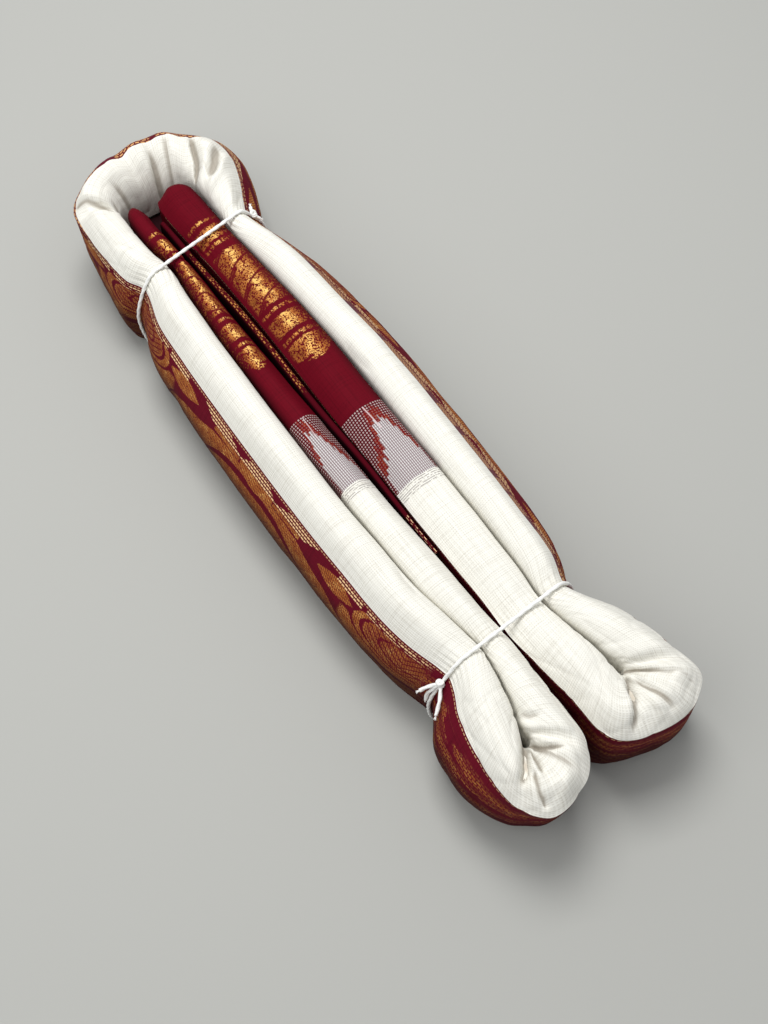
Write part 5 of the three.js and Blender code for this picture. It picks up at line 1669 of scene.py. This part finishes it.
@dataclass
class HiddenLayers:
    """The folded layers under the panels, whose edges show underneath."""

    strip: Strip
    material: bpy.types.Material
    inset: float = 1.3
    inner_inset: float = 1.6
    sink: float = 2.6
    turn_sink: float = 6.5
    turn_inset: float = 1.5
    layers: int = 9
    groove: float = 0.9
    wall_points: int = 8
    top_points: int = 10
    bed: tuple = (3.0, 19.0)
    outline: tuple = (
        (-160, -36), (-120, -37), (-113, -33), (-95, -37), (0, -40), (85, -37), (104, -32),
        (104, 13), (85, 18), (0, 22), (-95, 16), (-117, 11), (-145, 18), (-165, 14), (-172, -10),
    )

    def build(self) -> None:
        """Makes the layers and the bed that joins the arms."""
        s = np.arange(3.0, self.strip.length - 3.0, 1.5)
        core = Mesher.tube("layers_core", self.rings(s), self.material)
        bed = self.make_bed()
        joined = join_objects("folded_layers", [core, bed])
        dress(joined, "hidden_layers")
        LOG.info("hidden_layers: %d faces", len(joined.data.polygons))

    def rings(self, s: np.ndarray) -> np.ndarray:
        """Rings of the core: up the wall, over the top and back along the grooved underside."""
        section = Sections(self.strip, s)
        turn = self.turning(s)[:, None]
        deeper = (self.turn_sink - self.sink) * turn
        inset = self.inset + self.turn_inset * turn
        width = np.maximum(section.width - inset - self.inner_inset, 0.6)
        edge = section.rim_z - deeper - self.inset
        up = np.linspace(0, 1, self.wall_points + 1)[None, :-1]
        wall_z = section.lift + up * (edge - section.lift)
        q = np.linspace(0, 1, self.top_points)[None]
        back = np.linspace(1, 0, self.layers * 4)[None]
        wander = 0.15 * np.sin(s[:, None] / 29.0)
        fraction = np.abs((back * self.layers + wander) % 1 - 0.5) * 2
        under_z = section.lift + self.groove * smoothstep(fraction, 0.55, 1.0)
        under = width - (1 - back) * (width + section.foot)
        offset = np.concatenate([-section.swell(wall_z), q * width, under], 1)
        z = np.concatenate([wall_z, section.top(q, self.sink + deeper, edge), under_z], 1)
        return section.points(offset, z, inset)

    def turning(self, s: np.ndarray) -> np.ndarray:
        """1 on the three turns of the strip and 0 on its arms, at distances s."""
        turn = np.zeros(len(s))
        for stretch in (Stretch.LEFT_TURN, Stretch.HEAD, Stretch.RIGHT_TURN):
            low, high = self.strip.start(stretch), self.strip.end(stretch)
            here = smoothstep(s, low - 2, low + 4) * (1 - smoothstep(s, high - 4, high + 2))
            turn = np.maximum(turn, here)
        return turn

    def make_bed(self) -> bpy.types.Object:
        """The slab of layers between the arms."""
        outline = np.array(self.outline, float)
        count = len(outline)
        low, high = self.bed
        levels = [np.column_stack([outline, np.full(count, z)]) for z in (low, high)]
        points = np.concatenate(levels)
        faces = [list(range(count))[::-1], list(range(count, 2 * count))]
        for k in range(count):
            after = (k + 1) % count
            faces.append([k, after, after + count, k + count])
        # A third pattern coordinate of 1 makes the layers finish paint the bed near black as shade.
        lay = np.column_stack([points[:, 0], points[:, 1], np.ones(2 * count)])
        uv = (points[:, :2] + 200) / 400
        made = Mesher.make("layers_bed", points, faces, {"lay": lay * MM}, uv, self.material)
        made.data.polygons.foreach_set("use_smooth", np.zeros(len(made.data.polygons), bool))
        return made


def join_objects(name: str, parts: Sequence[bpy.types.Object]) -> bpy.types.Object:
    """Joins objects into the first of them, under a new name."""
    first = parts[0]
    with bpy.context.temp_override(active_object=first, selected_editable_objects=list(parts)):
        bpy.ops.object.join()
    first.name = name
    return first


@dataclass
class Tie:
    """A two-ply thread round all four arms, with its knot and free ends; millimetres.

    Args:
        node: The CAD node that it stands for.
        x: Where the thread crosses the middle of the tables.
        slant: Change of x per millimetre of y.
        crossings: Which passes of the strip lie in it.
        knot_at: The pass that holds the knot.
        knot_height: Place of the knot on the wall, as a share of its height.
        ends: Free ends, as rows of distance along the strip from the tie, share of the wall's
            height, and distance off the wall.
    """

    strip: Strip
    material: bpy.types.Material
    node: str
    x: float
    slant: float
    crossings: tuple[int, ...]
    knot_at: int
    knot_height: float
    ends: tuple
    radius: float = 0.85
    ply_length: float = 4.5
    knot_radius: float = 1.25
    knot_off: float = 0.9  # how far the knot's middle stands off the loop
    fibre_radius: float = 0.22
    fibre_length: float = 1.6
    sides: int = 12
    wall_rows: int = 20
    end_points: int = 26

    def build(self) -> None:
        """Makes the loop, the knot and the ends as one piece."""
        path, normal = self.loop()
        parts = [self.thread(f"{self.node}_loop", path, closed=True, normal=normal)]
        centre, off = self.knot_place(path)
        parts += self.knot(centre, off)
        for number, rows in enumerate(self.ends):
            line = [centre] + [self.off_wall(*row) for row in rows]
            smooth = self.smooth(np.array(line), self.end_points)
            parts.append(self.thread(f"{self.node}_end{number}", smooth, closed=False))
            parts += self.frayed(f"{self.node}_fray{number}", smooth)
        joined = join_objects(f"thread_{self.node}", parts)
        dress(joined, self.node)
        LOG.info("%s: %d faces", self.node, len(joined.data.polygons))

    def outline(self, s: float) -> np.ndarray:
        """Points round the section at a distance along the strip: its wall, its top, its foot."""
        section = Sections(self.strip, np.array([s]))
        up = np.linspace(0, 1, self.wall_rows)[None]
        z = section.lift + up * (section.rim_z - section.lift)
        q = np.linspace(0, 1, 24)[None]
        offset = np.concatenate([-section.swell(z), q * section.width, section.width], 1)
        return section.points(offset, np.concatenate([z, section.top(q), section.lift], 1))[0]

    def loop(self) -> tuple[np.ndarray, np.ndarray]:
        """The taut loop round the arms, and the direction square to it."""
        along = np.array([self.slant, 1.0]) / math.hypot(self.slant, 1.0)
        origin = np.array([self.x, 0.0])
        flat = []
        for number in self.crossings:
            at = self.strip.ties[number]
            for s in (at - 1.0, at, at + 1.0):
                points = self.outline(s)
                flat.append(np.column_stack([(points[:, :2] - origin) @ along, points[:, 2]]))
        hull = convex_hull(np.concatenate(flat))
        angles = np.linspace(0, math.tau, 24, endpoint=False)
        ring = np.column_stack([np.cos(angles), np.sin(angles)]) * (self.radius * 0.8)
        swollen = convex_hull((hull[:, None] + ring[None]).reshape(-1, 2))
        even = resample(swollen, 0.6)
        plan = origin + along * even[:, :1]
        return np.column_stack([plan, even[:, 1]]), np.array([1.0, -self.slant, 0.0])

    def off_wall(self, ahead: float, height: float, out: float) -> np.ndarray:
        """A point off the outer wall near the tie."""
        points = self.outline(self.strip.ties[self.knot_at] + ahead)
        wall = points[: self.wall_rows]
        place = height * (self.wall_rows - 1)
        point = np.array([np.interp(place, np.arange(self.wall_rows), column) for column in wall.T])
        middle = points[self.wall_rows + 10]
        away = point[:2] - middle[:2]
        point[:2] += away / np.hypot(*away) * out
        return point

    def knot_place(self, path: np.ndarray) -> tuple[np.ndarray, np.ndarray]:
        """Middle of the knot, and the direction off the wall there."""
        wanted = self.off_wall(0, self.knot_height, 0)
        further = self.off_wall(0, self.knot_height, 1.0)
        nearest = path[np.linalg.norm(path - wanted, axis=1).argmin()]
        off = (further - wanted) / np.linalg.norm(further - wanted)
        return nearest + off * self.knot_off, off

    def knot(self, centre: np.ndarray, off: np.ndarray) -> list[bpy.types.Object]:
        """Three small turns of thread pulled tight into each other."""
        parts = []
        up = np.array([0.0, 0.0, 1.0])
        side = np.cross(up, off)
        for number, (a, b, shift) in enumerate(
            ((side, off, 0.0), (side * 0.6 + up * 0.8, off, 0.5), (side * 0.6 - up * 0.8, off, -0.5))
        ):
            t = np.linspace(0, math.tau, 28, endpoint=False)[:, None]
            first = a / np.linalg.norm(a)
            turn = np.cos(t) * first + 0.75 * np.sin(t) * b
            ring = centre + up * shift + self.knot_radius * turn
            normal = np.cross(first, b)
            parts.append(self.thread(f"{self.node}_knot{number}", ring, closed=True, normal=normal))
        return parts

    def frayed(self, name: str, line: np.ndarray) -> list[bpy.types.Object]:
        """A few loose fibres at a cut end."""
        tip = line[-1]
        ahead = (line[-1] - line[-3]) / np.linalg.norm(line[-1] - line[-3])
        parts = []
        for number, (side, rise) in enumerate(((0.5, 0.2), (-0.35, 0.45), (0.1, -0.5), (-0.5, -0.25))):
            sideways = np.cross(ahead, (0, 0, 1))
            goal = ahead * self.fibre_length + sideways * side + np.array([0, 0, rise * 0.8])
            t = np.linspace(-0.3, 1, 7)[:, None]
            fibre = tip + goal * t + np.array([0, 0, -0.15]) * t**2
            made = self.thread(f"{name}_{number}", fibre, closed=False, radius=self.fibre_radius)
            parts.append(made)
        return parts

    @staticmethod
    def smooth(line: np.ndarray, count: int) -> np.ndarray:
        """A smooth curve through a few points."""
        slope = np.gradient(line, axis=0)
        wanted = np.linspace(0, len(line) - 1, count)
        i = np.minimum(wanted.astype(int), len(line) - 2)
        share = (wanted - i)[:, None]
        return bend(line[i], line[i + 1], slope[i], slope[i + 1], share)

    def thread(
        self,
        name: str,
        path: np.ndarray,
        closed: bool,
        normal: np.ndarray | None = None,
        radius: float | None = None,
    ) -> bpy.types.Object:
        """A two-ply thread along a path.

        Args:
            name: Its name.
            path: Points of its middle line.
            closed: Whether it closes on itself.
            normal: A direction square to the path, if it has one.
            radius: Its radius, if not the tie's own.

        Returns:
            The object.
        """
        size = self.radius if radius is None else radius
        tangent = np.roll(path, -1, 0) - np.roll(path, 1, 0) if closed else np.gradient(path, axis=0)
        tangent /= np.linalg.norm(tangent, axis=1, keepdims=True)
        square = np.array([0.17, 0.29, 0.94]) if normal is None else normal
        side = np.cross(square, tangent)
        side /= np.linalg.norm(side, axis=1, keepdims=True)
        up = np.cross(tangent, side)
        steps = np.linalg.norm(np.diff(path, axis=0), axis=1)
        run = np.concatenate([[0], np.cumsum(steps)])
        total = run[-1] + (np.linalg.norm(path[0] - path[-1]) if closed else 0)
        turns = max(1, round(total / self.ply_length)) if closed else total / self.ply_length
        twist = (math.pi * turns * run / total)[:, None]
        angle = np.linspace(0, math.tau, self.sides, endpoint=False)[None]
        reach = size * (0.74 + 0.26 * np.abs(np.cos(angle - twist)))
        ring = (
            path[:, None]
            + (reach * np.cos(angle))[..., None] * side[:, None]
            + (reach * np.sin(angle))[..., None] * up[:, None]
        )
        return Mesher.tube(name, ring, self.material, closed=closed)


def convex_hull(points: np.ndarray) -> np.ndarray:
    """Convex hull of points in a plane, in order round it."""
    ordered = points[np.lexsort((points[:, 1], points[:, 0]))]

    def half(rows: np.ndarray) -> list[np.ndarray]:
        """One side of the hull."""
        kept: list[np.ndarray] = []
        for p in rows:
            while len(kept) > 1:
                a, b = kept[-1] - kept[-2], p - kept[-2]
                if a[0] * b[1] - a[1] * b[0] > 0:
                    break
                kept.pop()
            kept.append(p)
        return kept[:-1]

    return np.array(half(ordered) + half(ordered[::-1]))


def resample(outline: np.ndarray, step: float) -> np.ndarray:
    """Even points round a closed outline."""
    closed = np.concatenate([outline, outline[:1]])
    lengths = np.linalg.norm(np.diff(closed, axis=0), axis=1)
    run = np.concatenate([[0], np.cumsum(lengths)])
    count = int(run[-1] / step)
    at = np.linspace(0, run[-1], count, endpoint=False)
    return np.column_stack([np.interp(at, run, closed[:, k]) for k in range(closed.shape[1])])


@dataclass
class Studio:
    """Pale floor, soft light from behind, and the camera."""

    floor_tone: tuple = colour(174, 174, 169)
    camera_at: tuple = (0.25192, -0.15977, 0.56552)
    camera_towards: tuple = (0.02779, 0.00099, 0.0)
    lens: float = 50.0

    def build(self) -> None:
        """Makes the floor, the lights and the camera."""
        self.floor()
        bpy.context.scene.view_settings.view_transform = "Standard"
        self.light("window", (-0.28, 0.1, 1.02), (0.0, 0.0, 0.0), 0.5, 8.3)
        self.light("side", (0.0, -0.6, 0.85), (0.0, 0.0, 0.0), 0.8, 2.7)
        world = bpy.data.worlds.new("studio")
        world.use_nodes = True
        ground = world.node_tree.nodes["Background"]
        ground.inputs["Color"].default_value = (0.95, 0.97, 1.0, 1)
        ground.inputs["Strength"].default_value = 0.48
        bpy.context.scene.world = world
        self.camera()

    def floor(self) -> None:
        """A wide plain floor just under the cloth."""
        size, low = 4.0, -0.0002
        mesh = bpy.data.meshes.new("floor")
        square = [(-size, -size, low), (size, -size, low), (size, size, low), (-size, size, low)]
        mesh.from_pydata(square, [], [(0, 1, 2, 3)])
        made = bpy.data.materials.new("floor")
        made.use_nodes = True
        shader = made.node_tree.nodes["Principled BSDF"]
        shader.inputs["Base Color"].default_value = self.floor_tone
        shader.inputs["Roughness"].default_value = 0.9
        mesh.materials.append(made)
        floor = bpy.data.objects.new("floor", mesh)
        bpy.context.scene.collection.objects.link(floor)
        floor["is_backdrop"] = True

    @staticmethod
    def light(name: str, place: tuple, towards: tuple, size: float, power: float) -> None:
        """A square area light.

        Args:
            name: Its name.
            place: Where it stands, in metres.
            towards: The point that it faces.
            size: Its side in metres.
            power: Its power in watts.
        """
        data = bpy.data.lights.new(name, "AREA")
        data.shape = "SQUARE"
        data.size = size
        data.energy = power
        Studio.aim(name, data, place, towards)

    @staticmethod
    def aim(name: str, data: bpy.types.ID, place: tuple, towards: tuple) -> bpy.types.Object:
        """Puts a light or a camera at a place, facing a point.

        Args:
            name: Its name.
            data: The light or the camera.
            place: Where it stands, in metres.
            towards: The point that it faces.

        Returns:
            Its object.
        """
        made = bpy.data.objects.new(name, data)
        made.location = place
        made.rotation_mode = "QUATERNION"
        made.rotation_quaternion = (Vector(towards) - Vector(place)).to_track_quat("-Z", "Y")
        bpy.context.scene.collection.objects.link(made)
        return made

    def camera(self) -> None:
        """The camera, looking down at the bundle from beside its turns."""
        data = bpy.data.cameras.new("camera")
        data.lens = self.lens
        data.sensor_width = 36.0
        data.clip_start = 0.01
        bpy.context.scene.camera = self.aim("camera", data, self.camera_at, self.camera_towards)


# How the finish of the middle fold's border stretch differs from its crimson stretch.
FOLD_BORDER = {
    "slot": "border_zari",
    "thread": colour(228, 190, 150),
    "run": (36.0, 92.0),
    "row_fill": 0.4,
    "dash_pitch": 3.1,
}
# The two ties, as the class Tie takes them.
TIES = (
    {
        "node": "tie_upper",
        "x": -117.6,
        "slant": -0.12,
        "crossings": (0, 3, 4, 7),
        "knot_at": 4,
        "knot_height": 0.97,
        "ends": (
            ((-1.4, 0.975, 1.9), (-2.6, 0.985, 2.2), (-3.8, 0.99, 2.4)),
            ((1.0, 0.96, 2.0), (1.8, 0.945, 2.2), (2.4, 0.93, 2.5)),
        ),
    },
    {
        "node": "tie_lower",
        "x": 107.8,
        "slant": -0.05,
        "crossings": (1, 2, 5, 6),
        "knot_at": 2,
        "knot_height": 0.93,
        "ends": (
            ((1.5, 0.9, 2.8), (2.8, 0.87, 4.2), (3.8, 0.83, 5.6)),
            ((-2.0, 0.91, 2.2), (-4.6, 0.87, 2.2), (-7.6, 0.8, 2.4)),
            ((0.8, 0.86, 2.2), (1.6, 0.76, 2.2), (1.2, 0.66, 2.0)),
        ),
    },
)


def corners() -> list[list[float]]:
    """Lowest and highest corner of what shows, as plain lists."""
    return [list(corner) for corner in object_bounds()]


def main() -> None:
    """Builds every piece in turn."""
    logging.basicConfig(level=logging.INFO, format="%(name)s: %(message)s")
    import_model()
    strip = Strip()
    LOG.info("strip: %.1f mm long, %d stations", strip.length, len(strip.stations))
    groups = Groups()
    cotton = CottonFinish(groups).build()
    border = BorderFinish(groups).build()
    pallu = PalluFinish(groups).build()
    join = JoinFinish(groups).build()
    layers = LayersFinish(groups).build()
    thread = ThreadFinish(groups).build()
    Cloth(strip, cotton, border, pallu, join).build()
    fold = FoldFinish(groups).build()
    fold_border = FoldFinish(groups, **FOLD_BORDER).build()
    MiddleFold(fold, fold_border).build()
    HiddenLayers(strip, layers).build()
    for sizes_of_tie in TIES:
        Tie(strip, thread, **sizes_of_tie).build()
    Studio().build()


if __name__ == "__main__":
    main()
